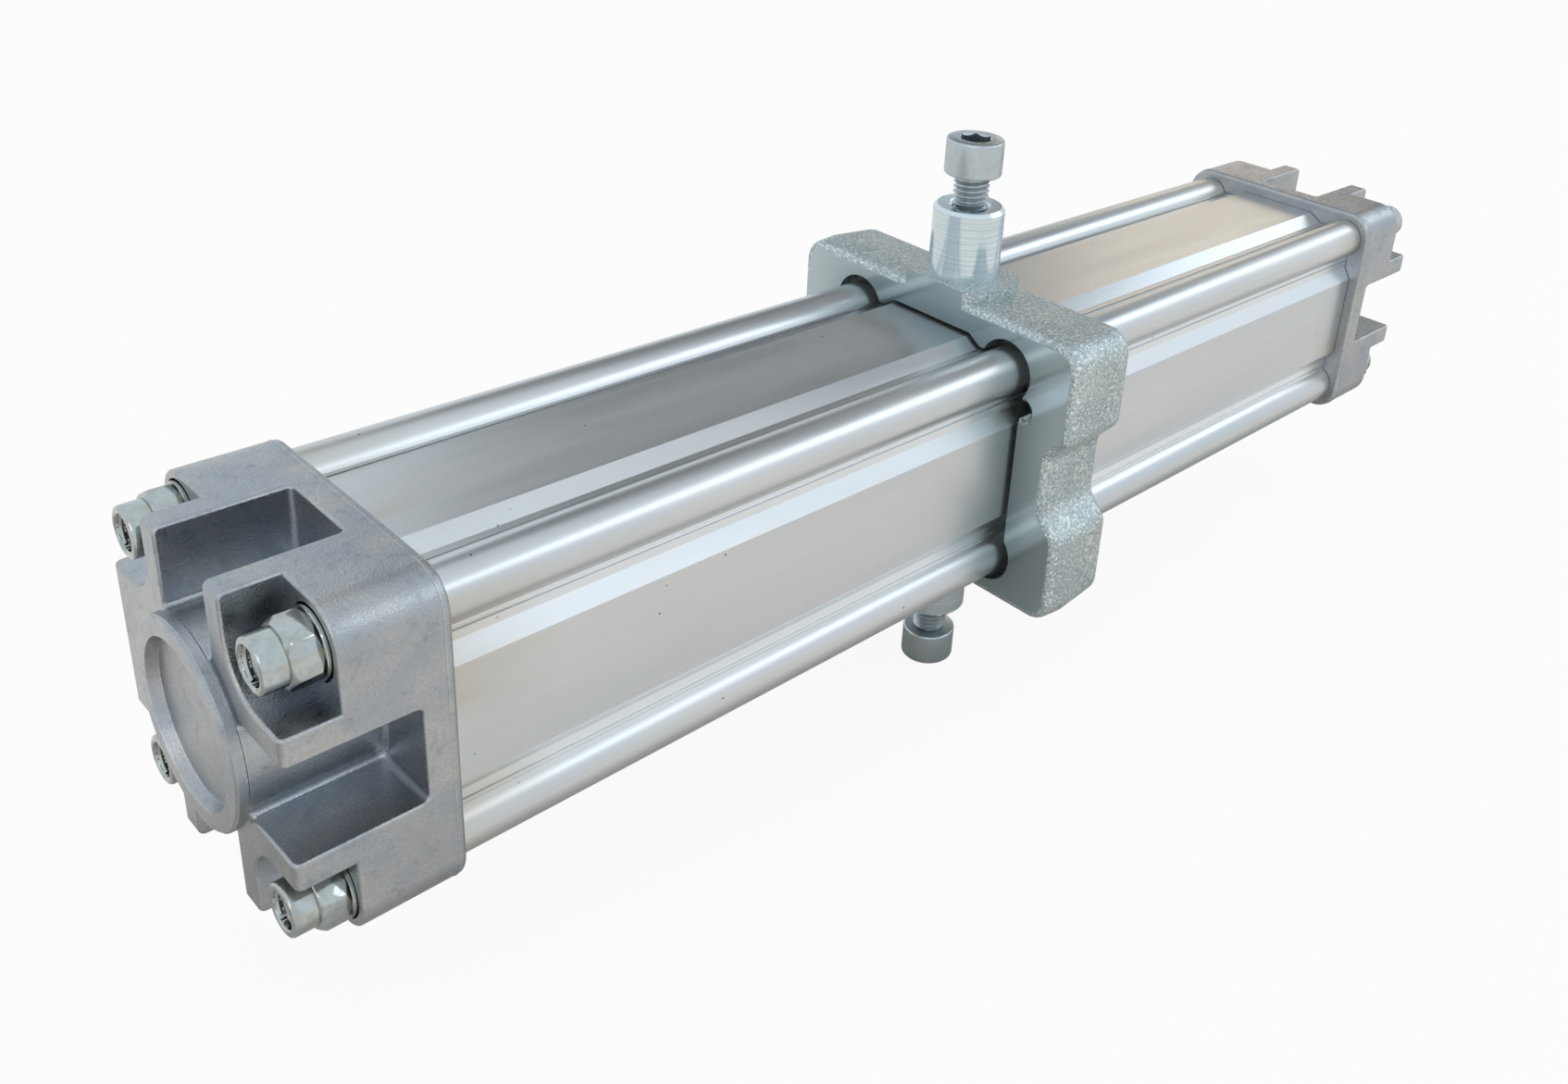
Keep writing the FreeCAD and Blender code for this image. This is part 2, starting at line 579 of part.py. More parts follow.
def make_rod_bearing():
    x0 = wiper_seat_end() + BUSH_END_ROOM
    x1 = FRONT_CHAMBER_FLOOR - BUSH_END_ROOM
    return mirrored(ring_x(ROD_R + THREAD_GAP, ROD_R + BUSH_WALL, x0, x1, BUSH_CHAMFER))


def make_rod_wiper():
    x0 = SPIGOT_RECESS_DEPTH - SPIGOT_LENGTH + WIPER_INSET
    x1 = wiper_seat_end() - PART_GAP
    face = x0 + WIPER_FACE
    heel = x1 - WIPER_HEEL
    lip = ROD_R + SLIDE_GAP
    relief = lip + WIPER_RELIEF
    return mirrored(turned([(x0, lip), (x0, lip + WIPER_LIP), (face, lip + WIPER_FACE_RISE),
                            (face, WIPER_D / 2),
                            (x1, WIPER_D / 2), (x1, lip), (heel, lip), (heel - WIPER_RELIEF, relief),
                            (face, relief)]))


# Tie rods and nuts

def make_tie_rod(y, z):
    r = TIE_ROD_D / 2
    rs = TIE_SHANK_D / 2
    x0 = MOUNTING_THREAD_DEPTH
    x1 = BODY_LENGTH - MOUNTING_THREAD_DEPTH
    t0 = x0 + TIE_THREAD_LENGTH
    t1 = x1 - TIE_THREAD_LENGTH
    c = ROD_END_CHAMFER
    rod = turned([(x0, 0), (x0, r - c), (x0 + c, r), (t0, r), (t0 + c, rs), (t1 - c, rs), (t1, r),
                  (x1 - c, r), (x1, r - c), (x1, 0)])
    rod.translate(vec(0, y, z))
    return rod


def make_tie_nut(y, z):
    """Mounting nut: flange in the cap, hexagon, and a round collar that takes the mounting screw."""
    seat = NOTCH_DEPTH + NUT_SEAT_DEPTH - PART_GAP
    flange_end = seat - NUT_FLANGE_THICKNESS
    hex_end = flange_end - NUT_HEX_LENGTH
    flange = ring_x(0.0, NUT_FLANGE_D / 2, flange_end, seat, NUT_FLANGE_CHAMFER)
    root = flange_end + NUT_FLANGE_THICKNESS / 4
    corners = hexagon(NUT_FLAT_WIDTH, hex_end, root)
    peak = NUT_FLAT_WIDTH / math.sqrt(3) + NUT_CORNER_ROOM
    clip = turned([(hex_end, 0), (hex_end, NUT_FLAT_WIDTH / 2 - NUT_CORNER_ROOM),
                   (hex_end + NUT_HEX_CHAMFER, peak), (root, peak), (root, 0)])
    r = NUT_COLLAR_D / 2
    c = NUT_COLLAR_CHAMFER
    collar_end = hex_end + NUT_HEX_LENGTH / 4
    collar = turned([(0, 0), (0, r - c), (c, r), (collar_end, r), (collar_end, 0)])
    nut = flange.fuse([corners.common(clip), collar]).removeSplitter()
    core = MOUNTING_THREAD_CORE_D / 2
    bore = TIE_ROD_D / 2 + THREAD_GAP
    step = MOUNTING_THREAD_DEPTH - ROD_TIP_ROOM
    nut = nut.cut(turned([(0, 0), (0, NUT_MOUTH_D / 2), (NUT_MOUTH_DEPTH, core), (step, core), (step, bore),
                          (seat + OVERCUT, bore), (seat + OVERCUT, 0)]))
    nut.translate(vec(0, y, z))
    return nut


# Trunnion block and its screws

def block_outline(x, draft):
    """Outline at this x, drawn in by the casting's draft."""
    wide = BLOCK_HALF_WIDTH - draft
    waist = BLOCK_WAIST_HALF - draft
    high = BLOCK_HALF_HEIGHT - draft
    z1 = WAIST_FLAT_HALF + WAIST_SLOPE_HEIGHT
    z0 = WAIST_FLAT_HALF
    right = [(wide, high, BLOCK_CORNER_R), (wide, z1, BLOCK_WAIST_R), (waist, z0, BLOCK_WAIST_R),
             (waist, -z0, BLOCK_WAIST_R), (wide, -z1, BLOCK_WAIST_R), (wide, -high, BLOCK_CORNER_R)]
    left = [(-y, z, r) for y, z, r in reversed(right)]
    return rounded_face(right + left, x)


def block_casting():
    """Both drafted halves of the casting, widest at the parting line."""
    parting = BLOCK_FRONT + PARTING_FROM_FRONT
    middle = block_outline(parting, 0.0).OuterWire
    front = Part.makeLoft([block_outline(BLOCK_FRONT, FRONT_DRAFT).OuterWire, middle], True, True)
    back = Part.makeLoft([middle, block_outline(BLOCK_BACK, BACK_DRAFT).OuterWire], True, True)
    front = front.makeFillet(BLOCK_EDGE_R, edges_at_x(front, BLOCK_FRONT))
    back = back.makeFillet(BLOCK_EDGE_R, edges_at_x(back, BLOCK_BACK))
    return front.fuse(back)


def trunnion_pin(side):
    """Turned pin on its shoulder disc, before its thread is cut."""
    r = PIN_D / 2
    root = BLOCK_HALF_HEIGHT - PIN_ROOT
    disc = rod_z(SHOULDER_DISC_D / 2, root, SHOULDER_HALF, TRUNNION_X)
    reach = SHOULDER_DISC_D
    disc = disc.common(block(BLOCK_FRONT, BLOCK_BACK, -reach, reach, 0, 2 * SHOULDER_HALF))
    shank = rod_z(r, root, PIN_TIP - PIN_CHAMFER, TRUNNION_X)
    end = Part.makeCone(r, r - PIN_CHAMFER, PIN_CHAMFER, vec(TRUNNION_X, 0, PIN_TIP - PIN_CHAMFER), Z_AXIS)
    pin = disc.fuse([shank, end])
    if side < 0:
        pin.rotate(vec(TRUNNION_X, 0, 0), X_AXIS, 180)
    return pin


def pin_thread_hole(side):
    r = PIN_SCREW_D / 2 + THREAD_GAP
    c = PIN_MOUTH_CHAMFER
    hole = rod_z(r, PIN_TIP - PIN_THREAD_DEPTH, PIN_TIP + OVERCUT, TRUNNION_X)
    mouth = Part.makeCone(r, r + c, c, vec(TRUNNION_X, 0, PIN_TIP - c), Z_AXIS)
    hole = hole.fuse(mouth)
    if side < 0:
        hole.rotate(vec(TRUNNION_X, 0, 0), X_AXIS, 180)
    return hole


def set_screw_spots():
    return [(-SET_SCREW_OUT, SET_SCREW_UP), (SET_SCREW_OUT, -SET_SCREW_UP)]


def make_trunnion_block():
    body = block_casting().fuse([trunnion_pin(1), trunnion_pin(-1)]).removeSplitter()
    gap = OPENING_GAP
    x0 = BLOCK_FRONT - OVERCUT
    x1 = BLOCK_BACK + OVERCUT
    opening = barrel_profile(PANEL_HALF + gap, PANEL_HALF_WIDTH + gap / 2, FLOOR_HALF + gap,
                             FLOOR_START + gap / 2, LOBE_POCKET_R, x0)
    side = PANEL_HALF + SIDE_WALL_GAP
    straight_walls = block(x0, x1, -side, side, -TIE_OFFSET, TIE_OFFSET)
    cuts = [opening.extrude(vec(x1 - x0, 0, 0)), straight_walls, pin_thread_hole(1), pin_thread_hole(-1)]
    r = SET_SCREW_D / 2 + SET_THREAD_GAP
    c = SET_MOUTH_CHAMFER
    hole = turned([(x0, 0), (x0, r + c), (BLOCK_FRONT, r + c), (BLOCK_FRONT + c, r),
                   (BLOCK_FRONT + SET_HOLE_DEPTH, r), (BLOCK_FRONT + SET_HOLE_DEPTH, 0)])
    cuts += [hole.translated(vec(0, y, z)) for y, z in set_screw_spots()]
    return body.cut(cuts)


def make_pin_screw(side):
    """Socket-head screw standing partly out of the pin."""
    r = PIN_SCREW_D / 2
    rh = SCREW_HEAD_D / 2
    top = HEAD_SEAT + SCREW_HEAD_HEIGHT
    tip = HEAD_SEAT - PIN_SCREW_LENGTH
    c = SCREW_HEAD_CHAMFER
    p = SCREW_POINT_CHAMFER
    u = SCREW_SEAT_CHAMFER
    screw = turned([(tip, 0), (tip, r - p), (tip + p, r), (HEAD_SEAT, r), (HEAD_SEAT, rh - u),
                    (HEAD_SEAT + u, rh), (top - c, rh), (top, rh - c), (top, 0)])
    screw = screw.cut(hexagon(SCREW_SOCKET_FLAT, top - SCREW_SOCKET_DEPTH, top + OVERCUT))
    screw.rotate(vec(0, 0, 0), Y_AXIS, -90)
    if side < 0:
        screw.rotate(vec(0, 0, 0), X_AXIS, 180)
    screw.translate(vec(TRUNNION_X, 0, 0))
    return screw


def make_set_screw(y, z):
    r = SET_SCREW_D / 2
    x0 = BLOCK_FRONT + SET_SCREW_INSET
    x1 = x0 + SET_SCREW_LENGTH
    c = SET_CHAMFER
    p = SET_POINT_CHAMFER
    screw = turned([(x0, 0), (x0, r - c), (x0 + c, r), (x1 - p, r), (x1, r - p), (x1, 0)])
    screw = screw.cut(hexagon(SET_SOCKET_FLAT, x0 - OVERCUT, x0 + SET_SOCKET_DEPTH))
    screw.translate(vec(0, y, z))
    return screw


# Piston and rod

def make_piston_half(side):
    """One half of the piston; the magnet and guide ring sit where the halves meet."""
    tenon = TENON_D / 2 + THREAD_GAP
    outer = BORE_R - PISTON_RELIEF
    magnet_in = MAGNET_INNER_R - PART_GAP
    magnet_half = MAGNET_WIDTH / 2 + PART_GAP
    ring_r = BORE_R - SLIDE_GAP - GUIDE_RING_THICKNESS - PART_GAP
    ring_half = GUIDE_RING_WIDTH / 2 + PART_GAP
    end = PISTON_LENGTH / 2
    g1 = end - PISTON_SEAL_INSET
    g0 = g1 - PISTON_SEAL_WIDTH - 2 * PART_GAP
    groove_r = BORE_R - SLIDE_GAP - PISTON_SEAL_THICKNESS - PART_GAP
    c = PISTON_EDGE
    points = [(HALF_GAP, tenon), (HALF_GAP, magnet_in), (magnet_half, magnet_in), (magnet_half, ring_r),
              (ring_half, ring_r), (ring_half, outer), (g0, outer), (g0, groove_r), (g1, groove_r),
              (g1, outer), (end - c, outer), (end, outer - c), (end, tenon)]
    return turned([(PISTON_MIDDLE + side * x, r) for x, r in points])


def make_piston_seal(side):
    """Lip seal opening towards its own end of the piston."""
    r_in = BORE_R - SLIDE_GAP - PISTON_SEAL_THICKNESS
    r_out = BORE_R - SLIDE_GAP
    x1 = PISTON_LENGTH / 2 - PISTON_SEAL_INSET - PART_GAP
    x0 = x1 - PISTON_SEAL_WIDTH
    heel_r = r_out - PISTON_SEAL_LIP
    points = [(x0, r_in), (x0, heel_r), (x0 + PISTON_SEAL_HEEL, heel_r), (x1 - PISTON_SEAL_EDGE, r_out),
              (x1, r_out - PISTON_SEAL_ROUND), (x1, r_out - PISTON_SEAL_LIP_THICKNESS),
              (x1 - PISTON_SEAL_MOUTH, r_out - PISTON_SEAL_MOUTH_FLOOR), (x1, r_in + PISTON_SEAL_INNER_LIP),
              (x1, r_in)]
    return turned([(PISTON_MIDDLE + side * x, r) for x, r in points])


def make_guide_ring():
    r = BORE_R - SLIDE_GAP
    half = GUIDE_RING_WIDTH / 2
    return ring_x(r - GUIDE_RING_THICKNESS, r, PISTON_MIDDLE - half, PISTON_MIDDLE + half, GUIDE_RING_CHAMFER)


def make_magnet():
    half = MAGNET_WIDTH / 2
    return ring_x(MAGNET_INNER_R, MAGNET_R, PISTON_MIDDLE - half, PISTON_MIDDLE + half)


def make_sleeve(r_in, free_end, seat):
    """Cushion sleeve from its seat on the piston to a tapered lead on its free end."""
    lead = SLEEVE_LEAD if seat > free_end else -SLEEVE_LEAD
    return turned([(free_end, r_in), (free_end, SLEEVE_R - SLEEVE_DROP), (free_end + lead, SLEEVE_R),
                   (seat, SLEEVE_R), (seat, r_in)])


def make_rod():
    """Piston rod with its tenon at the rear, wrench flats and a tapped end at the front."""
    tenon = TENON_D / 2
    thread = PISTON_NUT_THREAD_D / 2
    step = REAR_SLEEVE_END - PART_GAP
    shoulder = PISTON_FRONT + PART_GAP
    c = ROD_CHAMFER
    t = ROD_THREAD_CHAMFER
    rod = turned([(TENON_END, 0), (TENON_END, thread - t), (TENON_END + t, thread), (step, thread),
                  (step, tenon), (shoulder, tenon), (shoulder, ROD_R), (ROD_END - c, ROD_R),
                  (ROD_END, ROD_R - c), (ROD_END, 0)])
    core = ROD_THREAD_CORE_D / 2
    bottom = ROD_END - ROD_THREAD_DEPTH
    past = ROD_END + OVERCUT
    hole = turned([(bottom - core * DRILL_POINT, 0), (bottom, core), (ROD_END - t, core), (ROD_END, core + t),
                   (past, core + t), (past, 0)])
    x1 = ROD_END - ROD_FLAT_INSET
    x0 = x1 - ROD_FLAT_LENGTH
    flats = [block(x0, x1, -ROD_D, ROD_D, ROD_FLAT_WIDTH / 2, ROD_D),
             block(x0, x1, -ROD_D, ROD_D, -ROD_D, -ROD_FLAT_WIDTH / 2)]
    return rod.cut([hole] + flats)


def make_piston_nut():
    x0 = PISTON_NUT_START
    x1 = x0 + PISTON_NUT_THICKNESS
    peak = PISTON_NUT_FLAT_WIDTH / math.sqrt(3) + NUT_CORNER_ROOM
    c = PISTON_NUT_CHAMFER
    limit = turned([(x0, 0), (x0, PISTON_NUT_FLAT_WIDTH / 2), (x0 + c, peak), (x1 - c, peak),
                    (x1, PISTON_NUT_FLAT_WIDTH / 2), (x1, 0)])
    bore = rod_x(PISTON_NUT_THREAD_D / 2 + THREAD_GAP, x0 - OVERCUT, x1 + OVERCUT)
    return hexagon(PISTON_NUT_FLAT_WIDTH, x0, x1).common(limit).cut(bore)


def make_needle():
    """Slotted cushion needle in its threaded hole."""
    r = NEEDLE_D / 2
    top = HALF_SIDE - NEEDLE_INSET
    x0 = top - NEEDLE_LENGTH
    tip = x0 - NEEDLE_TIP_LENGTH
    c = NEEDLE_CHAMFER
    half = NEEDLE_SLOT_WIDTH / 2
    needle = turned([(tip, 0), (tip, NEEDLE_POINT_D / 2), (x0, NEEDLE_TIP_D / 2), (x0, r - c), (x0 + c, r),
                     (top - c, r), (top, r - c), (top, 0)])
    needle = needle.cut(block(top - NEEDLE_SLOT_DEPTH, top + OVERCUT, -half, half, -NEEDLE_D, NEEDLE_D))
    needle.rotate(vec(0, 0, 0), Z_AXIS, 90)
    needle.translate(vec(NEEDLE_FROM_FACE, 0, NEEDLE_OFFSET))
    return needle


def main():
    os.makedirs("parts", exist_ok=True)
    nuts = [make_tie_nut(y, z) for y, z in CORNERS]
    save("barrel", [make_barrel()])
    save("rear_cap", [make_rear_cap()])
    save("front_cap", [make_front_cap()])
    save("tie_rods", [make_tie_rod(y, z) for y, z in CORNERS])
    save("rear_tie_nuts", nuts)
    save("front_tie_nuts", [mirrored(nut) for nut in nuts])
    save("rear_barrel_seal", [make_barrel_seal()])
    save("front_barrel_seal", [mirrored(make_barrel_seal())])
    save("rear_cushion_seal", [make_cushion_seal()])
    save("front_cushion_seal", [mirrored(make_cushion_seal())])
    save("rear_cushion_needle", [make_needle()])
    save("front_cushion_needle", [mirrored(make_needle())])
    save("rod_bearing", [make_rod_bearing()])
    save("rod_wiper", [make_rod_wiper()])
    save("trunnion_block", [make_trunnion_block()])
    save("upper_pin_screw", [make_pin_screw(1)])
    save("lower_pin_screw", [make_pin_screw(-1)])
    save("trunnion_set_screws", [make_set_screw(y, z) for y, z in set_screw_spots()])
    save("piston_halves", [make_piston_half(-1), make_piston_half(1)])
    save("piston_seals", [make_piston_seal(-1), make_piston_seal(1)])
    save("piston_guide_ring", [make_guide_ring()])
    save("piston_magnet", [make_magnet()])
    tenon_bore = TENON_D / 2 + THREAD_GAP
    rod_bore = ROD_R + THREAD_GAP
    save("rear_cushion_sleeve", [make_sleeve(tenon_bore, REAR_SLEEVE_END, PISTON_REAR - PART_GAP)])
    save("front_cushion_sleeve", [make_sleeve(rod_bore, FRONT_SLEEVE_END, PISTON_FRONT + PART_GAP)])
    save("piston_rod", [make_rod()])
    save("piston_nut", [make_piston_nut()])


main()
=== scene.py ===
# %% [markdown]
# # A pneumatic cylinder with a trunnion block, dressed in Blender
# The CAD model gives every metal part its shape. Here each part gets its real finish: sandy
# die-cast caps, an anodised barrel, a zinc-plated trunnion block and bright plated fasteners.
# What is too fine for the CAD model is added too: threads, parting lines and scratches.
# The script works in metres, in the CAD model's own axes.

import json
import math

import bpy
from mathutils import Matrix, Quaternion, Vector


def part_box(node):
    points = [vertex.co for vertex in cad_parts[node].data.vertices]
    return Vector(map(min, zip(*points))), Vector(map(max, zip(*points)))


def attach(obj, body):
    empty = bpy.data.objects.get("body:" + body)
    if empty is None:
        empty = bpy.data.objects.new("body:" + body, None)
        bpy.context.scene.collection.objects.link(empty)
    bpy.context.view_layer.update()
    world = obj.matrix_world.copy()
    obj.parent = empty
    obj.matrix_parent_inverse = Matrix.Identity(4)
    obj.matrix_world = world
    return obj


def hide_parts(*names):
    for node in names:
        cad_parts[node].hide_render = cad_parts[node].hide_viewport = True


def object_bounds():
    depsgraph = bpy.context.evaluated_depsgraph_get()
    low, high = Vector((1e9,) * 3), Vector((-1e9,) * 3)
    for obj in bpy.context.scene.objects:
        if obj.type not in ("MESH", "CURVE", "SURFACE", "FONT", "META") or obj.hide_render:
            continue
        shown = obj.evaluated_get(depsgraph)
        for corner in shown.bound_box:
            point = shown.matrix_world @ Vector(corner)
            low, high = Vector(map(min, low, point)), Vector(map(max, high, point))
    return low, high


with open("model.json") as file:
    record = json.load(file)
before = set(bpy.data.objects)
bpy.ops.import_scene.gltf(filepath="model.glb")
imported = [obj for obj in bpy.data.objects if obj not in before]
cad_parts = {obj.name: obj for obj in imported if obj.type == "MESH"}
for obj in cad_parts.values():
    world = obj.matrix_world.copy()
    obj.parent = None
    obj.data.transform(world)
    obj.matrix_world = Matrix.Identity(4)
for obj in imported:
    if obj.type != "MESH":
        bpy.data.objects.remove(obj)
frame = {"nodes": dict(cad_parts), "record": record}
nodes = frame["nodes"]
cad_low, cad_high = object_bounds()
MM = 0.001
print("CAD parts:", len(nodes), "box in mm:", [round(v / MM, 1) for v in cad_high - cad_low])

# %% [markdown]
# ## Colour and node helpers
# A colour read off a screen is sRGB, and shaders work in linear light, so one function turns
# a hex value into the linear one. A second small function adds a node, sets its properties
# and fills or links its sockets. Every material below is written with these two. Map Range
# turns a range of one value, such as a noise, into a range of another, such as a roughness.
# Mix has sockets for every kind of data, and its two colours are its sockets 6 and 7.

# %% Helpers for materials

FIRST, SECOND = 6, 7


def colour(code):
    """Linear RGBA from an sRGB hex value such as #c0c2c4."""
    parts = [int(code[k:k + 2], 16) / 255 for k in (1, 3, 5)]
    return [p / 12.92 if p <= 0.04045 else ((p + 0.055) / 1.055) ** 2.4 for p in parts] + [1.0]


def fill(tree, node, sockets):
    """A socket takes a value, a hex colour, an output or a node, by its first output in use."""
    for key, value in sockets.items():
        if isinstance(value, bpy.types.Node):
            value = next(output for output in value.outputs if output.enabled)
        if isinstance(value, bpy.types.NodeSocket):
            tree.links.new(value, node.inputs[key])
        else:
            node.inputs[key].default_value = colour(value) if isinstance(value, str) else value


def add(tree, kind, sockets, **settings):
    """A new node of this kind, its properties set to settings and its sockets filled."""
    node = tree.nodes.new("ShaderNode" + kind)
    for name, value in settings.items():
        setattr(node, name, value)
    fill(tree, node, sockets)
    return node


def per(size_mm):
    """Pattern scale for details of this size."""
    return 1 / (size_mm * MM)


def metal(name, base, roughness):
    """A new metal: its material, node tree, shader and the part's own coordinates."""
    material = bpy.data.materials.new(name)
    material.use_nodes = True
    tree = material.node_tree
    shader = tree.nodes["Principled BSDF"]
    fill(tree, shader, {"Base Color": base, "Metallic": 1.0, "Roughness": roughness})
    place = add(tree, "TexCoord", {}).outputs["Object"]
    return material, tree, shader, place


def coated(tree, tone, coats):
    """A colour under coats of others, each laid on by its own share from 0 to 1."""
    for share, code in coats:
        tone = add(tree, "Mix", {0: share, FIRST: tone, SECOND: code}, data_type="RGBA")
    return tone


print("helpers ready")

# %% [markdown]
# ## Die-cast aluminium
# The caps are pressure die castings that were shot blasted. The eye sees a satin grey with a
# fine sandy grain and faint clouds where the metal froze. The edges are painted brighter, partly
# rubbed by handling and partly a painted highlight, and the hollows get a painted bluish light.
# Grain and clouds are noise patterns. The bright edges come from the Bevel node, which rounds
# the normal near an edge, so its difference from the true normal marks the edge. Ambient
# occlusion finds the hollows.

# %% Die-cast aluminium for the caps


def rubbed_and_highlit_edges(tree, width_mm):
    """0 on open faces, up to 1 on edges of this width."""
    soft = add(tree, "Bevel", {"Radius": width_mm * MM}, samples=4)
    true = add(tree, "NewGeometry", {})
    same = add(tree, "VectorMath", {0: soft, 1: true.outputs["Normal"]},
               operation="DOT_PRODUCT")
    return add(tree, "MapRange", {"Value": same, "From Min": 0.99, "From Max": 0.88})


def die_cast_aluminium():
    material, tree, shader, place = metal("die_cast_aluminium", "#aeb0b2", 0.38)
    grain = add(tree, "TexNoise", {"Vector": place, "Scale": per(0.45), "Detail": 3.0,
                                   "Roughness": 0.6})
    clouds = add(tree, "TexNoise", {"Vector": place, "Scale": per(14.0), "Detail": 4.0,
                                    "Distortion": 0.5})
    smears = add(tree, "TexNoise", {"Vector": place, "Scale": per(3.0), "Detail": 5.0,
                                    "Roughness": 0.65})
    deep = add(tree, "AmbientOcclusion", {"Distance": 14 * MM}, samples=6)

    cloudy = add(tree, "MapRange", {"Value": clouds, "From Min": 0.38, "From Max": 0.64})
    smeared = add(tree, "MapRange", {"Value": smears, "From Min": 0.56, "From Max": 0.72,
                                     "To Max": 0.6})
    grainy = add(tree, "MapRange", {"Value": grain, "From Min": 0.3, "From Max": 0.75,
                                    "To Max": 0.48})
    uneven = add(tree, "MapRange", {"Value": smears, "From Min": 0.3, "From Max": 0.6,
                                    "To Min": 0.9, "To Max": 0.3})
    # Painted highlight on the edges, mixed with rubbed wear that the smears make uneven.
    wear_and_highlight = add(tree, "Math", {0: rubbed_and_highlit_edges(tree, 0.45), 1: uneven}, operation="MULTIPLY")
    # Painted bluish light in the hollows, laid on where ambient occlusion finds them shaded.
    painted_hollow_light = add(tree, "MapRange", {"Value": deep.outputs["AO"], "From Min": 0.75,
                                    "From Max": 0.30, "To Max": 0.5})
    tone = coated(tree, "#adb1b5", [(cloudy, "#bebdba"), (smeared, "#8b8f95"),
                                    (grainy, "#8a8d91"), (wear_and_highlight, "#dedfde"),
                                    (painted_hollow_light, "#b2bcc9")])

    satin = add(tree, "MapRange", {"Value": smears, "From Min": 0.35, "From Max": 0.7,
                                   "To Min": 0.24, "To Max": 0.37})
    skin = add(tree, "Bump", {"Height": grain, "Strength": 0.8, "Distance": 0.11 * MM})
    waves = add(tree, "Bump", {"Height": smears, "Strength": 0.25, "Distance": 0.20 * MM,
                               "Normal": skin})
    fill(tree, shader, {"Base Color": tone, "Roughness": satin, "Normal": waves})
    return material


cast_aluminium = die_cast_aluminium()
print("made", cast_aluminium.name)

# %% [markdown]
# ## Anodised extrusion
# The barrel was pressed through a die, brushed along its length and anodised. It keeps very
# fine lines along X, a silvery satin and a few dark nicks from handling. The channels beside
# the corner lobes are painted brighter as a painted reflection, most of all the sides' lower
# ones and least the top, and a thin brown film of dust and oil lies where the barrel meets the
# caps. The lines are noise stretched a hundredfold along X. The nicks are Voronoi dots, most of
# them masked away. A point is in the channels when the smaller of its distances from the two
# middle planes lies between panel and lobe.

# %% Anodised aluminium for the barrel

PANEL_EDGE = 14.1 * MM
LOBE_FOOT = 22.2 * MM
REAR_FILM = 26 * MM
FRONT_FILM = 18 * MM
barrel_low, barrel_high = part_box("barrel")


def anodised_aluminium():
    material, tree, shader, place = metal("anodised_aluminium", "#d2d3d2", 0.28)
    axes = add(tree, "SeparateXYZ", {"Vector": place})
    drawn = add(tree, "Mapping", {"Vector": place, "Scale": (0.01, 1.0, 1.0)})
    lines = add(tree, "TexNoise", {"Vector": drawn, "Scale": per(0.35), "Detail": 2.0})
    bands = add(tree, "Mapping", {"Vector": place, "Scale": (0.12, 1.0, 1.0)})
    clouds = add(tree, "TexNoise", {"Vector": bands, "Scale": per(14.0), "Detail": 3.0})

    nicks = add(tree, "TexVoronoi", {"Vector": place, "Scale": per(7.0), "Randomness": 1.0})
    spots = add(tree, "MapRange", {"Value": nicks, "From Min": 0.025, "From Max": 0.05,
                                   "To Min": 1.0, "To Max": 0.0})
    patches = add(tree, "TexNoise", {"Vector": place, "Scale": per(16.0), "Detail": 1.0})
    few = add(tree, "MapRange", {"Value": patches, "From Min": 0.49, "From Max": 0.53})
    dots = add(tree, "Math", {0: spots, 1: few}, operation="MULTIPLY")

    sides = [add(tree, "Math", {0: axes.outputs[axis]}, operation="ABSOLUTE") for axis in "YZ"]
    nearer = add(tree, "Math", {0: sides[0], 1: sides[1]}, operation="MINIMUM")
    past_panel = add(tree, "MapRange", {"Value": nearer, "From Min": PANEL_EDGE - 0.1 * MM,
                                        "From Max": PANEL_EDGE + 0.1 * MM})
    before_lobe = add(tree, "MapRange", {"Value": nearer, "From Min": LOBE_FOOT - 0.2 * MM,
                                         "From Max": LOBE_FOOT, "To Min": 1.0, "To Max": 0.0})
    painted_channel_light = add(tree, "Math", {0: past_panel, 1: before_lobe}, operation="MULTIPLY")
    # Painted reflection: the channels are painted brighter low on the sides, less high up and
    # least on the top.
    lower = add(tree, "MapRange", {"Value": axes.outputs["Z"], "From Min": -10 * MM,
                                   "From Max": 10 * MM, "To Min": 1.0, "To Max": 0.55})
    not_top = add(tree, "MapRange", {"Value": axes.outputs["Z"], "From Min": 23 * MM,
                                     "From Max": 26 * MM, "To Min": 1.0, "To Max": 0.5})
    beside = add(tree, "Math", {0: lower, 1: not_top}, operation="MULTIPLY")
    painted_channel_light = add(tree, "Math", {0: painted_channel_light, 1: beside}, operation="MULTIPLY")

    rear = add(tree, "MapRange", {"Value": axes.outputs["X"], "From Min": barrel_low.x,
                                  "From Max": barrel_low.x + REAR_FILM,
                                  "To Min": 1.0, "To Max": 0.0})
    front = add(tree, "MapRange", {"Value": axes.outputs["X"],
                                   "From Min": barrel_high.x - FRONT_FILM,
                                   "From Max": barrel_high.x})
    ends = add(tree, "Math", {0: rear, 1: front}, operation="MAXIMUM")
    blotches = add(tree, "MapRange", {"Value": clouds, "From Min": 0.42, "From Max": 0.66,
                                      "To Max": 0.55})
    film = add(tree, "Math", {0: ends, 1: blotches}, operation="MULTIPLY")

    cloudy = add(tree, "MapRange", {"Value": clouds, "From Min": 0.35, "From Max": 0.7})
    lined = add(tree, "MapRange", {"Value": lines, "From Min": 0.3, "From Max": 0.8,
                                   "To Max": 0.22})
    tone = coated(tree, "#ccd0d1", [(cloudy, "#d9d8d5"), (lined, "#b2b4b6"),
                                    (painted_channel_light, "#f3f6f7"), (film, "#b9ad99"),
                                    (dots, "#4c4d50")])
    satin = add(tree, "MapRange", {"Value": clouds, "From Min": 0.3, "From Max": 0.7,
                                   "To Min": 0.26, "To Max": 0.36})
    height = add(tree, "Math", {0: lines, 1: dots}, operation="SUBTRACT")
    skin = add(tree, "Bump", {"Height": height, "Strength": 0.10, "Distance": 0.02 * MM})
    fill(tree, shader, {"Base Color": tone, "Roughness": satin, "Normal": skin})
    return material


anodised = anodised_aluminium()
print("made", anodised.name)
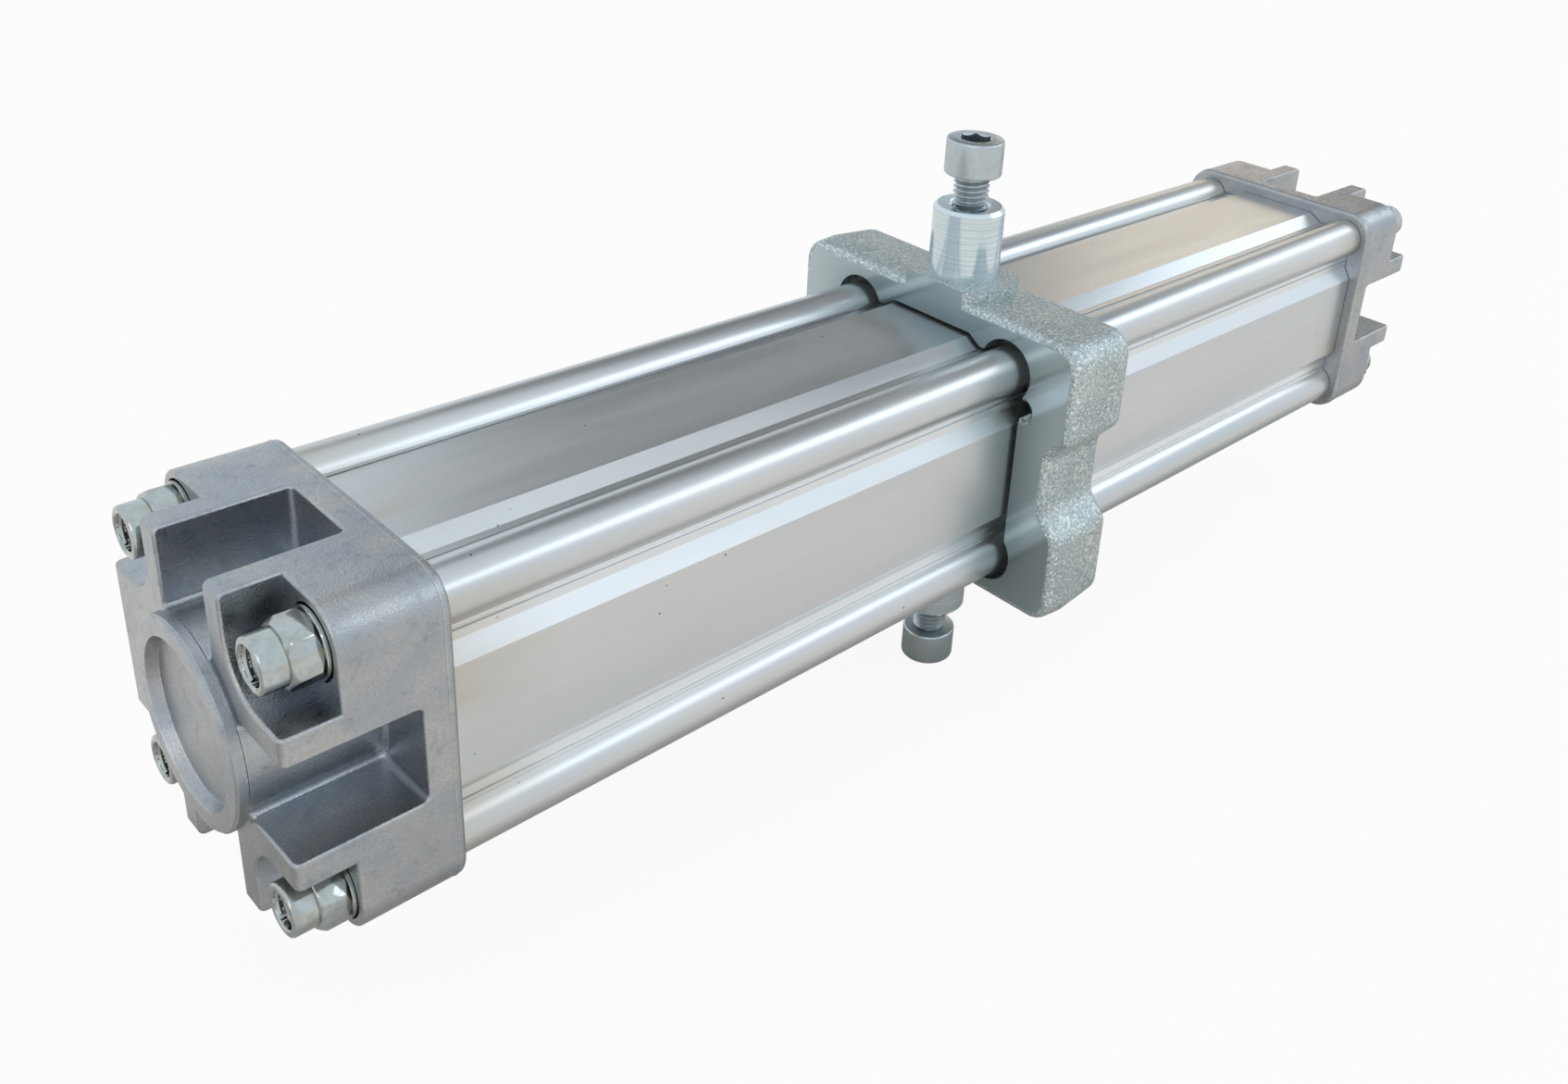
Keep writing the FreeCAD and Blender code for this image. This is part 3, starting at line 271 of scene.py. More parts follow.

# %% [markdown]
# ## Zinc-plated trunnion block
# The block is an iron casting. Its outside keeps a coarse granular skin, its two wide faces
# were milled flat and its pins turned, and all of it was then zinc plated. The plated milled
# face is almost a mirror with a faint blue-green tint, painted a darker teal near the barrel
# as a painted shade. One material holds the three finishes and picks between them by the
# point's place: near the two face planes, or out on the pins.

# %% Zinc on cast, milled and turned metal

block_low, block_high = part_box("trunnion_block")
BLOCK_MIDDLE_X = (block_low.x + block_high.x) / 2
BLOCK_HALF_THICKNESS = (block_high.x - block_low.x) / 2
SHOULDER_Z = 45.0 * MM


def zinc_casting():
    material, tree, shader, place = metal("zinc_plated_casting", "#b9c0ba", 0.42)
    axes = add(tree, "SeparateXYZ", {"Vector": place})
    along = add(tree, "Math", {0: axes.outputs["X"], 1: BLOCK_MIDDLE_X}, operation="SUBTRACT")
    depth = add(tree, "Math", {0: along}, operation="ABSOLUTE")
    edge = BLOCK_HALF_THICKNESS - 0.02 * MM
    milled = add(tree, "MapRange", {"Value": depth, "From Min": edge - 0.01 * MM,
                                    "From Max": edge})
    out = add(tree, "Math", {0: axes.outputs["Z"]}, operation="ABSOLUTE")
    turned = add(tree, "MapRange", {"Value": out, "From Min": SHOULDER_Z + 0.02 * MM,
                                    "From Max": SHOULDER_Z + 0.05 * MM})
    smooth = add(tree, "Math", {0: milled, 1: turned}, operation="MAXIMUM")
    rough = add(tree, "MapRange", {"Value": smooth, "To Min": 1.0, "To Max": 0.0})

    lumps = add(tree, "TexNoise", {"Vector": place, "Scale": per(0.75), "Detail": 4.0,
                                   "Roughness": 0.6})
    clouds = add(tree, "TexNoise", {"Vector": place, "Scale": per(12.0), "Detail": 3.0})
    ring_place = add(tree, "Mapping", {"Vector": place, "Scale": (0.02, 0.02, 1.0)})
    rings = add(tree, "TexNoise", {"Vector": ring_place, "Scale": per(0.45), "Detail": 2.0})

    cloudy = add(tree, "MapRange", {"Value": clouds, "From Min": 0.35, "From Max": 0.65})
    pits = add(tree, "MapRange", {"Value": lumps, "From Min": 0.48, "From Max": 0.34,
                                  "To Max": 0.7})
    peaks = add(tree, "MapRange", {"Value": lumps, "From Min": 0.53, "From Max": 0.66,
                                   "To Max": 0.95})
    # Painted shade: the milled face turns a darker teal where ambient occlusion finds the barrel
    # close.
    near = add(tree, "AmbientOcclusion", {"Distance": 16 * MM}, samples=6)
    painted_shade_near_barrel = add(tree, "MapRange", {"Value": near.outputs["AO"], "From Min": 0.95,
                                    "From Max": 0.55})
    ringed = add(tree, "MapRange", {"Value": rings, "From Min": 0.3, "From Max": 0.7})
    face = coated(tree, "#b3c1c4", [(painted_shade_near_barrel, "#748388")])
    pins = coated(tree, "#c3d0d4", [(ringed, "#dfe8eb")])
    tone = coated(tree, "#adb8ba", [(cloudy, "#bfc8c6"), (pits, "#7d8a8d"),
                                    (peaks, "#f6faf8"), (milled, face), (turned, pins)])

    gloss = add(tree, "MapRange", {"Value": rough, "To Min": 0.14, "To Max": 0.34})
    bumps = add(tree, "Bump", {"Height": lumps, "Strength": rough, "Distance": 0.40 * MM})
    marks = add(tree, "Math", {0: rings, 1: turned}, operation="MULTIPLY")
    lathe = add(tree, "Bump", {"Height": marks, "Strength": 0.35, "Distance": 0.03 * MM,
                               "Normal": bumps})
    fill(tree, shader, {"Base Color": tone, "Roughness": gloss, "Normal": lathe})
    return material


zinc_block = zinc_casting()
print("made", zinc_block.name)

# %% [markdown]
# ## Zinc-plated fasteners
# Nuts and screws come out of the barrel plating bright, with soft patches of yellow and blue
# where the passivation is thicker, and with fine scratches from tumbling against each other.
# The hollows of nuts and screws are painted darker, a painted shade found by ambient occlusion.

# %% Plated steel for nuts, tie rods and screws


def plated_steel(name, light, yellow, blue, hollow_shade, roughness):
    material, tree, shader, place = metal(name, light, roughness)
    warm = add(tree, "TexNoise", {"Vector": place, "Scale": per(3.5), "Detail": 3.0})
    cool = add(tree, "TexNoise", {"Vector": place, "Scale": per(2.4), "Detail": 2.0,
                                  "Distortion": 1.2})
    tumbled = add(tree, "Mapping", {"Vector": place, "Rotation": (0.6, 0.9, 0.3),
                                    "Scale": (1.0, 1.0, 0.06)})
    scratches = add(tree, "TexNoise", {"Vector": tumbled, "Scale": per(0.5), "Detail": 2.0})
    deep = add(tree, "AmbientOcclusion", {"Distance": 9 * MM}, samples=6)

    yellowed = add(tree, "MapRange", {"Value": warm, "From Min": 0.40, "From Max": 0.70,
                                      "To Max": 0.45})
    blued = add(tree, "MapRange", {"Value": cool, "From Min": 0.45, "From Max": 0.72,
                                   "To Max": 0.35})
    # Painted shade in the hollows, darker where ambient occlusion finds them enclosed.
    painted_hollow_shade = add(tree, "MapRange", {"Value": deep.outputs["AO"], "From Min": 0.65,
                                   "From Max": 0.20, "To Max": 0.65})
    tone = coated(tree, light, [(yellowed, yellow), (blued, blue), (painted_hollow_shade, hollow_shade)])
    dull = add(tree, "MapRange", {"Value": cool, "From Min": 0.3, "From Max": 0.7,
                                  "To Min": roughness - 0.05, "To Max": roughness + 0.07})
    skin = add(tree, "Bump", {"Height": scratches, "Strength": 0.22, "Distance": 0.03 * MM})
    fill(tree, shader, {"Base Color": tone, "Roughness": dull, "Normal": skin})
    return material


zinc_nuts = plated_steel("zinc_plated_steel", "#bdc3c0", "#9d957f", "#919ea7", "#5f5c55", 0.12)
zinc_screws = plated_steel("zinc_plated_screw", "#bcc6ca", "#c8c6b6", "#a8b8c3", "#8b9399", 0.30)
print("made", zinc_nuts.name, zinc_screws.name)

# %% [markdown]
# ## The hidden parts
# Rod, piston, sleeves, bearing and needles are plain turned or ground metal: a base colour,
# tool marks round the part's X axis and a little unevenness. Seals and guide rings aren't
# metal, so the same function takes the metallic value too.

# %% Turned, ground and moulded finishes


def worked(name, base, shade, metallic, roughness, mark_mm, relief):
    """A part with fine marks across X, such as a lathe or a grinding wheel leaves."""
    material, tree, shader, place = metal(name, base, roughness)
    across = add(tree, "Mapping", {"Vector": place, "Scale": (1.0, 0.03, 0.03)})
    marks = add(tree, "TexNoise", {"Vector": across, "Scale": per(mark_mm), "Detail": 2.0})
    clouds = add(tree, "TexNoise", {"Vector": place, "Scale": per(6.0), "Detail": 2.0})
    marked = add(tree, "MapRange", {"Value": marks, "From Min": 0.3, "From Max": 0.7})
    tone = coated(tree, base, [(marked, shade)])
    dull = add(tree, "MapRange", {"Value": clouds, "From Min": 0.3, "From Max": 0.7,
                                  "To Min": roughness * 0.8, "To Max": roughness * 1.25})
    skin = add(tree, "Bump", {"Height": marks, "Strength": relief, "Distance": 0.02 * MM})
    fill(tree, shader, {"Base Color": tone, "Metallic": metallic, "Roughness": dull,
                        "Normal": skin})
    return material


finishes = {
    "cast_aluminium": cast_aluminium,
    "anodised_aluminium": anodised,
    "zinc_plated_casting": zinc_block,
    "zinc_plated_steel": zinc_nuts,
    "plated_screw": zinc_screws,
    "black_steel": worked("black_oxide_steel", "#3a3b3e", "#2b2c2f", 1.0, 0.38, 0.6, 0.2),
    "chromed_rod": worked("hard_chromed_steel", "#d3d6da", "#c6cace", 1.0, 0.12, 0.3, 0.08),
    "turned_aluminium": worked("turned_aluminium", "#d2d3d4", "#bcbdbf", 1.0, 0.28, 0.4, 0.4),
    "ferrite": worked("bonded_ferrite", "#3b3837", "#322f2e", 0.0, 0.62, 0.8, 0.3),
    "guide_plastic": worked("acetal_plastic", "#ddd9cb", "#d3cfc0", 0.0, 0.42, 0.8, 0.2),
    "black_rubber": worked("nitrile_rubber", "#232324", "#1d1d1e", 0.0, 0.60, 0.7, 0.2),
    "green_polyurethane": worked("polyurethane", "#4f7357", "#476a50", 0.0, 0.40, 0.7, 0.15),
    "sintered_bronze": worked("sintered_bronze", "#b08d57", "#9b7a49", 1.0, 0.45, 0.3, 0.4),
    "brass": worked("turned_brass", "#c9a85c", "#b9974e", 1.0, 0.25, 0.4, 0.3),
}
for part in frame["record"]["subparts"]:
    mesh = nodes[part["node"]].data
    mesh.materials.clear()
    mesh.materials.append(finishes[part["material_slot"]])

# %% [markdown]
# ## Modelling helpers
# Each new piece starts from a primitive that is added at its size, is shaped in edit mode and
# ends as an object at the origin, with its place in its mesh, like the CAD parts. These
# helpers clear the selection first, because the operators act on all that is selected.

# %% Helpers for new pieces


def only(piece):
    """Makes this the one selected and active object."""
    bpy.ops.object.select_all(action="DESELECT")
    piece.select_set(True)
    bpy.context.view_layer.objects.active = piece


def apply_modifier(piece, kind, **settings):
    only(piece)
    modifier = piece.modifiers.new(kind.lower(), kind)
    for name, value in settings.items():
        setattr(modifier, name, value)
    bpy.ops.object.modifier_apply(modifier=modifier.name)


def set_in_place(piece):
    """Turns, scale and place go into the mesh, and faces are made to point outwards."""
    only(piece)
    bpy.ops.object.transform_apply(location=True, rotation=True, scale=True)
    bpy.ops.object.mode_set(mode="EDIT")
    bpy.ops.mesh.select_all(action="SELECT")
    bpy.ops.mesh.remove_doubles(threshold=0.002 * MM)
    bpy.ops.mesh.normals_make_consistent(inside=False)
    bpy.ops.object.mode_set(mode="OBJECT")


def copy_of(piece, name):
    twin = piece.copy()
    twin.data = piece.data.copy()
    twin.name = name
    bpy.context.scene.collection.objects.link(twin)
    return twin


def join(name, parts):
    only(parts[0])
    for part in parts:
        part.select_set(True)
    bpy.ops.object.join()
    parts[0].name = name
    return parts[0]


def dress(piece, slot, body, smooth_angle=40):
    """Material, shading and the body that the piece rides on."""
    piece.data.materials.clear()
    piece.data.materials.append(finishes[slot])
    only(piece)
    bpy.ops.object.shade_smooth_by_angle(angle=math.radians(smooth_angle))
    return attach(piece, body)


def round_edges(piece, width, segments, sharper_than=60):
    """Bevel on the edges whose faces meet at more than this angle."""
    apply_modifier(piece, "BEVEL", width=width, segments=segments, limit_method="ANGLE",
                   angle_limit=math.radians(sharper_than))


def carve(piece, tool, operation):
    """Boolean with a tool that is thrown away."""
    apply_modifier(piece, "BOOLEAN", operation=operation, object=tool, solver="EXACT")
    bpy.data.objects.remove(tool)


print("modelling helpers ready")

# %% [markdown]
# ## Screw threads
# A thread is a small ridge wound round a rod, or round the inside of a hole. One triangle is
# the ridge's section. It is a circle of three corners stood on edge at the thread's radius,
# and the Screw modifier winds it up the axis, one pitch a turn. Corners are given as shares
# of the ridge's height and width, and its feet reach a little into the wall, so that no gap
# shows. The same function serves the screws, the nuts' mouths, the ports and the rod end.

# %% A wound thread ridge

CREST, FEET = (1.0, 0.0), ((-0.12, 0.5), (-0.12, -0.5))
RIDGE_WIDTH = 0.84


def thread_ridge(name, wall_r, height, pitch, turns, outwards, steps=40):
    """Ridge round +Z from z = 0, standing on a wall of this radius; outwards on a screw."""
    side = 1 if outwards else -1
    width = RIDGE_WIDTH * pitch
    bpy.ops.object.select_all(action="DESELECT")
    bpy.ops.mesh.primitive_circle_add(vertices=3, radius=1.0, fill_type="NOTHING")
    ridge = bpy.context.object
    ridge.name = name
    for corner, (out, up) in zip(ridge.data.vertices, (CREST, *FEET)):
        corner.co = (wall_r + side * out * height, 0.0, up * width)
    apply_modifier(ridge, "SCREW", angle=math.tau, screw_offset=pitch, iterations=turns,
                   steps=steps, render_steps=steps, use_merge_vertices=False)
    return ridge


print("thread helper ready")

# %% [markdown]
# ## Pin screws
# Each trunnion pin carries a socket-head screw that stands partly out of it, and about six
# turns of its thread show between pin and head. The head is a cylinder with bevelled rims.
# Booleans cut its hexagonal socket and the cone at the socket's mouth. The CAD part gives
# the head's size and place. The screw is made once and turned over for the lower pin.

# %% The upper pin screw and its twin below

SCREW_PITCH = 1.5 * MM
SCREW_CORE_R = 4.15 * MM
SCREW_THREAD_R = 4.98 * MM
HEAD_HEIGHT = 10.0 * MM
SOCKET_FLAT = 8.0 * MM
SOCKET_DEPTH = 5.0 * MM
SOCKET_TURN = math.radians(12)
SOCKET_RIM_DEPTH = 1.1 * MM
THREAD_OVERLAP = 0.1 * MM
screw_low, screw_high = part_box("upper_pin_screw")
head_r = (screw_high.y - screw_low.y) / 2
screw_axis = Vector(((screw_low.x + screw_high.x) / 2, 0.0, 0.0))


def socket_head_screw():
    """Screw along +Z on the Z axis, its head's top at the CAD screw's top."""
    top = screw_high.z
    seat = top - HEAD_HEIGHT
    bpy.ops.object.select_all(action="DESELECT")
    bpy.ops.mesh.primitive_cylinder_add(vertices=72, radius=head_r, depth=HEAD_HEIGHT,
                                        location=(0, 0, seat + HEAD_HEIGHT / 2))
    head = bpy.context.object
    round_edges(head, 0.7 * MM, 3)
    bpy.ops.object.select_all(action="DESELECT")
    bpy.ops.mesh.primitive_cylinder_add(vertices=6, radius=SOCKET_FLAT / math.sqrt(3),
                                        depth=2 * SOCKET_DEPTH, location=(0, 0, top),
                                        rotation=(0, 0, SOCKET_TURN))
    carve(head, bpy.context.object, "DIFFERENCE")
    bpy.ops.object.select_all(action="DESELECT")
    bpy.ops.mesh.primitive_cone_add(vertices=48, radius1=SOCKET_FLAT / 2 - 0.2 * MM,
                                    radius2=SOCKET_FLAT / 2 + 0.9 * MM,
                                    depth=SOCKET_RIM_DEPTH, location=(0, 0, top - 0.15 * MM))
    carve(head, bpy.context.object, "DIFFERENCE")
    bpy.ops.object.select_all(action="DESELECT")
    shank = seat + 2 * THREAD_OVERLAP - screw_low.z
    bpy.ops.mesh.primitive_cylinder_add(vertices=48, radius=SCREW_CORE_R, depth=shank,
                                        location=(0, 0, screw_low.z + shank / 2))
    core = bpy.context.object
    turns = int(shank / SCREW_PITCH) - 1
    ridge = thread_ridge("screw_thread", SCREW_CORE_R, SCREW_THREAD_R - SCREW_CORE_R,
                         SCREW_PITCH, turns, True, 48)
    ridge.location.z = seat + THREAD_OVERLAP - turns * SCREW_PITCH
    screw = join("upper_pin_screw_threaded", [head, core, ridge])
    set_in_place(screw)
    return screw


upper_screw = socket_head_screw()
lower_screw = copy_of(upper_screw, "lower_pin_screw_threaded")
lower_screw.rotation_euler.x = math.pi
for screw, node in ((upper_screw, "upper_pin_screw"), (lower_screw, "lower_pin_screw")):
    screw.location = screw_axis
    set_in_place(screw)
    dress(screw, "plated_screw", "housing")
    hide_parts(node)
    print(screw.name, len(screw.data.polygons), "faces")

# %% [markdown]
# ## Mounting nuts
# Four nuts at each end hold the tie rods. Each has a washer-like flange in the cap's recess,
# a hexagon and a round collar whose thread is open for a mounting screw. The hexagon's
# corners are turned off at both ends, which is the common part of a six-sided bar and a
# bevelled disc, so a Boolean makes it. The nut is modelled once, lying along +Z with its
# mouth at the bottom, and is turned and copied to the eight places.

# %% One mounting nut

TIE_OFFSET = 28.25 * MM
NUT_FLAT = 13.0 * MM
COLLAR_R = 5.7 * MM
FLANGE_R = 7.4 * MM
COLLAR_TOP = 4.95 * MM
HEX_TOP = 10.95 * MM
NUT_TOP = 13.35 * MM
NUT_PITCH = 1.25 * MM
NUT_BORE_R = 3.98 * MM
NUT_RIDGE = 0.45 * MM
NUT_MOUTH = 0.9 * MM
BORE_DEPTH = 7.0 * MM


def disc(name, radius, low, high, vertices=64):
    """Round bar along +Z between two heights."""
    bpy.ops.object.select_all(action="DESELECT")
    bpy.ops.mesh.primitive_cylinder_add(vertices=vertices, radius=radius, depth=high - low,
                                        location=(0, 0, (low + high) / 2))
    bar = bpy.context.object
    bar.name = name
    return bar


def mounting_nut():
    nut = disc("mounting_nut", NUT_FLAT / math.sqrt(3), COLLAR_TOP, HEX_TOP, 6)
    rim = disc("rim", FLANGE_R, COLLAR_TOP, HEX_TOP)
    round_edges(rim, 1.1 * MM, 1)
    carve(nut, rim, "INTERSECT")
    collar = disc("collar", COLLAR_R, 0.0, COLLAR_TOP + 1 * MM)
    round_edges(collar, 0.7 * MM, 2)
    carve(nut, collar, "UNION")
    flange = disc("flange", FLANGE_R, HEX_TOP - 0.2 * MM, NUT_TOP)
    carve(nut, flange, "UNION")
    carve(nut, disc("bore", NUT_BORE_R, -1 * MM, BORE_DEPTH), "DIFFERENCE")
    bpy.ops.object.select_all(action="DESELECT")
    bpy.ops.mesh.primitive_cone_add(vertices=64, radius1=NUT_BORE_R + 1.0 * MM,
                                    radius2=NUT_BORE_R - 0.6 * MM, depth=1.6 * MM,
                                    location=(0, 0, 0.2 * MM))
    carve(nut, bpy.context.object, "DIFFERENCE")
    round_edges(nut, 0.16 * MM, 2, sharper_than=28)
    thread = thread_ridge("thread", NUT_BORE_R, NUT_RIDGE, NUT_PITCH, 4, False, 36)
    thread.location.z = NUT_MOUTH
    nut = join("mounting_nut", [nut, thread])
    set_in_place(nut)
    return nut


pattern_nut = mounting_nut()
print("nut:", len(pattern_nut.data.polygons), "faces")

# %% Eight nuts in place

NOSE = 3.0 * MM
body_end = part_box("front_cap")[1].x - NOSE
CORNERS = [(y, z) for y in (1, -1) for z in (1, -1)]
NUT_TURNS = {("rear", -1, 1): 14, ("rear", -1, -1): 38, ("rear", 1, 1): 25, ("rear", 1, -1): 3}
for end, x, way in (("rear", 0.0, math.pi / 2), ("front", body_end, -math.pi / 2)):
    copies = []
    for side_y, side_z in CORNERS:
        nut = copy_of(pattern_nut, end + "_nut")
        turn = math.radians(NUT_TURNS.get((end, side_y, side_z), 10 * side_y + 7 * side_z))
        stood = Matrix.Rotation(way, 3, "Y") @ Matrix.Rotation(turn, 3, "Z")
        nut.rotation_euler = stood.to_euler()
        nut.location = (x, side_y * TIE_OFFSET, side_z * TIE_OFFSET)
        copies.append(nut)
    nuts = join(end + "_mounting_nuts", copies)
    set_in_place(nuts)
    dress(nuts, "zinc_plated_steel", "housing", 30)
    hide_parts(end + "_tie_nuts")
    print(nuts.name, len(nuts.data.polygons), "faces")
bpy.data.objects.remove(pattern_nut)

# %% [markdown]
# ## Threads in the ports and the rod end
# The ports and the rod end are tapped too, so a thread ridge stands in each hole. It is wound
# at the origin, stood along the hole's way in and moved to where the hole's chamfer ends.

# %% Inner threads

QUARTER = math.pi / 2
ROD_BORE_R = 4.24 * MM
ROD_PITCH = 1.5 * MM
ROD_MOUTH = 1.2 * MM
PORT_BORE_R = 7.49 * MM
PORT_PITCH = 1.337 * MM
PORT_MOUTH = 1.9 * MM
PORT_FROM_END = 17.0 * MM
rod_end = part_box("piston_rod")[1].x


def inner_thread(name, wall_r, height, pitch, turns, place, turn, slot, body):
    """Thread in a hole, from its mouth inwards; turn stands +Z along the hole's way in."""
    ridge = thread_ridge(name, wall_r, height, pitch, turns, False)
    ridge.rotation_euler = turn
    ridge.location = place
    set_in_place(ridge)
    dress(ridge, slot, body, 60)


inner_thread("rod_end_thread", ROD_BORE_R, 0.45 * MM, ROD_PITCH, 12,
             (rod_end - ROD_MOUTH, 0, 0), (0, -QUARTER, 0), "chromed_rod", "rod_and_piston")
port_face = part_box("rear_cap")[1].y
for end, x in (("rear", PORT_FROM_END), ("front", body_end - PORT_FROM_END)):
    inner_thread(end + "_port_thread", PORT_BORE_R, 0.5 * MM, PORT_PITCH, 6,
                 (x, port_face - PORT_MOUTH, 0), (QUARTER, 0, 0), "cast_aluminium", "housing")
print("inner threads in the rod end and two ports")

# %% [markdown]
# ## Threads of the two set screws
# The holes of the set screws lie half in the block and half in the air beside the barrel, so
# their threads show as a row of half rings. The ridge is wound whole and then bisected at the
# wall of the block's opening, and the side towards the barrel is thrown away.

# %% Half threads in the block

SET_SPOT = Vector((block_low.x, -35.3 * MM, 19.0 * MM))
SET_BORE_R = 3.11 * MM
SET_PITCH = 1.0 * MM
SET_MOUTH = 0.7 * MM
OPENING_WALL = 34.7 * MM
for side in (1, -1):
    ridge = thread_ridge("set_screw_thread", SET_BORE_R, 0.5 * MM, SET_PITCH, 5, False, 36)
    ridge.rotation_euler = (0, QUARTER, 0)
    ridge.location = (SET_SPOT.x + SET_MOUTH, side * SET_SPOT.y, side * SET_SPOT.z)
    set_in_place(ridge)
    only(ridge)
    bpy.ops.object.mode_set(mode="EDIT")
    bpy.ops.mesh.select_all(action="SELECT")
    bpy.ops.mesh.bisect(plane_co=(0, -side * OPENING_WALL, 0), plane_no=(0, side, 0),
                        use_fill=True, clear_outer=True)
    bpy.ops.object.mode_set(mode="OBJECT")
    ridge.name = "set_screw_thread_" + ("left" if side > 0 else "right")
    dress(ridge, "zinc_plated_casting", "housing", 60)
    print(ridge.name, len(ridge.data.polygons), "faces")

# %% [markdown]
# ## Parting line of the caps
# Both caps were cast in a two-part die, and the joint of the die left a fine raised line
# round the flange, just short of the barrel. It is a plane with rounded corners: the corners
# are bevelled, the middle is inset and deleted, and the frame that is left is extruded.

# %% A fine line round each cap

cap_low, cap_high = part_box("rear_cap")
CAP_CORNER_R = 8.5 * MM
LINE_WIDTH = 0.45 * MM
LINE_RISE = 0.10 * MM
LINE_DEPTH = 0.8 * MM


def parting_line(name, x):
    bpy.ops.object.select_all(action="DESELECT")
    bpy.ops.mesh.primitive_plane_add(size=cap_high.z - cap_low.z + 2 * LINE_RISE)
    line = bpy.context.object
    line.name = name
    bpy.ops.object.mode_set(mode="EDIT")
    bpy.ops.mesh.bevel(offset=CAP_CORNER_R, segments=8, affect="VERTICES")
    bpy.ops.mesh.select_all(action="SELECT")
    bpy.ops.mesh.inset(thickness=LINE_DEPTH)
    bpy.ops.mesh.delete(type="FACE")
    bpy.ops.mesh.select_all(action="SELECT")
    bpy.ops.mesh.extrude_region_move(TRANSFORM_OT_translate={"value": (0, 0, LINE_WIDTH)})
    bpy.ops.object.mode_set(mode="OBJECT")
    line.rotation_euler = (0, QUARTER, 0)
    line.location = (x, 0, 0)
    set_in_place(line)
    round_edges(line, LINE_RISE * 0.8, 2)
    return dress(line, "cast_aluminium", "housing", 50)


REAR_LINE_X = cap_high.x - 12.0 * MM
FRONT_LINE_X = barrel_high.x + 2.0 * MM
for end, x in (("rear", REAR_LINE_X), ("front", FRONT_LINE_X)):
    print(parting_line(end + "_parting_line", x).name)

# %% [markdown]
# ## Studio
# The part is photographed on white. A wide pale floor lies under the lower screw. One long
# soft box hangs in front and to the right, so that it glints along the barrel's round corners,
# and a square one near the camera lights the rear cap and the block's face. Metal mostly
# shows what it mirrors, so a grey board hangs behind the part, where the top panel mirrors
# it, and a paler card over it shades the lobes' tops. A cream card and a small warm lamp far
# down the barrel warm the panel behind the block. The camera doesn't see the cards, and the
# background stays white. Metal low on the part mirrors the floor close by, which lies in the
# part's shadow, so mirrors see the floor's own tone there. What they see of the room is a
# little blue, like daylight from a window.

# %% Floor, board and lamps

focus = (cad_low + cad_high) / 2
FLOOR_Z = cad_low.z - 0.4 * MM


def staged_plane(name, size, place, facing):
    bpy.ops.object.select_all(action="DESELECT")
    bpy.ops.mesh.primitive_plane_add(size=1.0, location=place)
    board = bpy.context.object
    board.name = name
    board.scale = (size[0], size[1], 1)
    board.rotation_mode = "QUATERNION"
    board.rotation_quaternion = facing.to_track_quat("Z", "Y")
    return board


def plain_surface(name, code, seen_white, mirrored_white, near=None):
    """Matt paint; camera and mirrors see these shares of it as white, mirrors less of it near."""
    material = bpy.data.materials.new(name)
    material.use_nodes = True
    tree = material.node_tree
    tree.nodes.clear()
    matt = add(tree, "BsdfDiffuse", {"Color": code})
    white = add(tree, "Emission", {"Color": "#ffffff", "Strength": 1.06})
    path = add(tree, "LightPath", {})
    mirrored = add(tree, "Math", {0: path.outputs["Is Glossy Ray"],
                                  1: path.outputs["Is Transmission Ray"]},
                   operation="MAXIMUM")
    mirrored = add(tree, "Math", {0: mirrored, 1: mirrored_white}, operation="MULTIPLY")
    if near:
        place = add(tree, "TexCoord", {}).outputs["Object"]
        axes = add(tree, "SeparateXYZ", {"Vector": place})
        aside = add(tree, "Math", {0: axes.outputs["Y"]}, operation="ABSOLUTE")
        clear = add(tree, "MapRange", {"Value": aside, "From Min": near[0],
                                       "From Max": near[1]})
        mirrored = add(tree, "Math", {0: mirrored, 1: clear}, operation="MULTIPLY")
    share = add(tree, "Math", {0: path.outputs["Is Camera Ray"], 1: seen_white, 2: mirrored},
                operation="MULTIPLY_ADD")
    mix = add(tree, "MixShader", {0: share, 1: matt, 2: white})
    add(tree, "OutputMaterial", {"Surface": mix})
    return material


FLOOR_SIZE = 16.0
floor = staged_plane("studio_floor", (FLOOR_SIZE, FLOOR_SIZE), (focus.x, focus.y, FLOOR_Z),
                     Vector((0, 0, 1)))
# The floor's own coordinates run over one unit, so lengths on it are shares of its size.
shaded_strip = (0.05 / FLOOR_SIZE, 0.12 / FLOOR_SIZE)
floor.data.materials.append(plain_surface("floor_paper", "#dbd9d5", 0.85, 0.66, shaded_strip))


def towards(azimuth, elevation):
    """Direction from the part: degrees from +X towards +Y, and up from the floor."""
    return Matrix.Rotation(math.radians(azimuth), 3, "Z") @ Vector(
        (math.cos(math.radians(elevation)), 0.0, math.sin(math.radians(elevation))))


CARD_DISTANCE = 1.6
CARDS = (("back_board", 51, 32, (0.84, 0.62), "#a6a7a7"),
         ("ceiling_card", 24, 50, (1.9, 0.72), "#b2b7bc"),
         ("far_card", 26, 20, (0.72, 0.68), "#c3bfba"))
for name, azimuth, elevation, size, code in CARDS:
    way = towards(azimuth, elevation)
    board = staged_plane(name, size, focus + way * CARD_DISTANCE, -way)
    board.data.materials.append(plain_surface(name + "_paint", code, 0.0, 0.0))
    board.visible_camera = False
    board.visible_shadow = False


def soft_box(name, way, distance, width, height, strength, tint, roll=0):
    """Oblong lamp this way from the part, facing it; strength is its radiance."""
    lamp = bpy.data.lights.new(name, "AREA")
    lamp.shape = "RECTANGLE"
    lamp.size = width
    lamp.size_y = height
    lamp.energy = strength * math.pi * width * height
    lamp.color = colour(tint)[:3]
    holder = bpy.data.objects.new(name, lamp)
    bpy.context.scene.collection.objects.link(holder)
    holder.location = focus + way * distance
    holder.rotation_mode = "QUATERNION"
    rolled = Quaternion((0, 0, 1), math.radians(roll))
    holder.rotation_quaternion = way.to_track_quat("Z", "Y") @ rolled


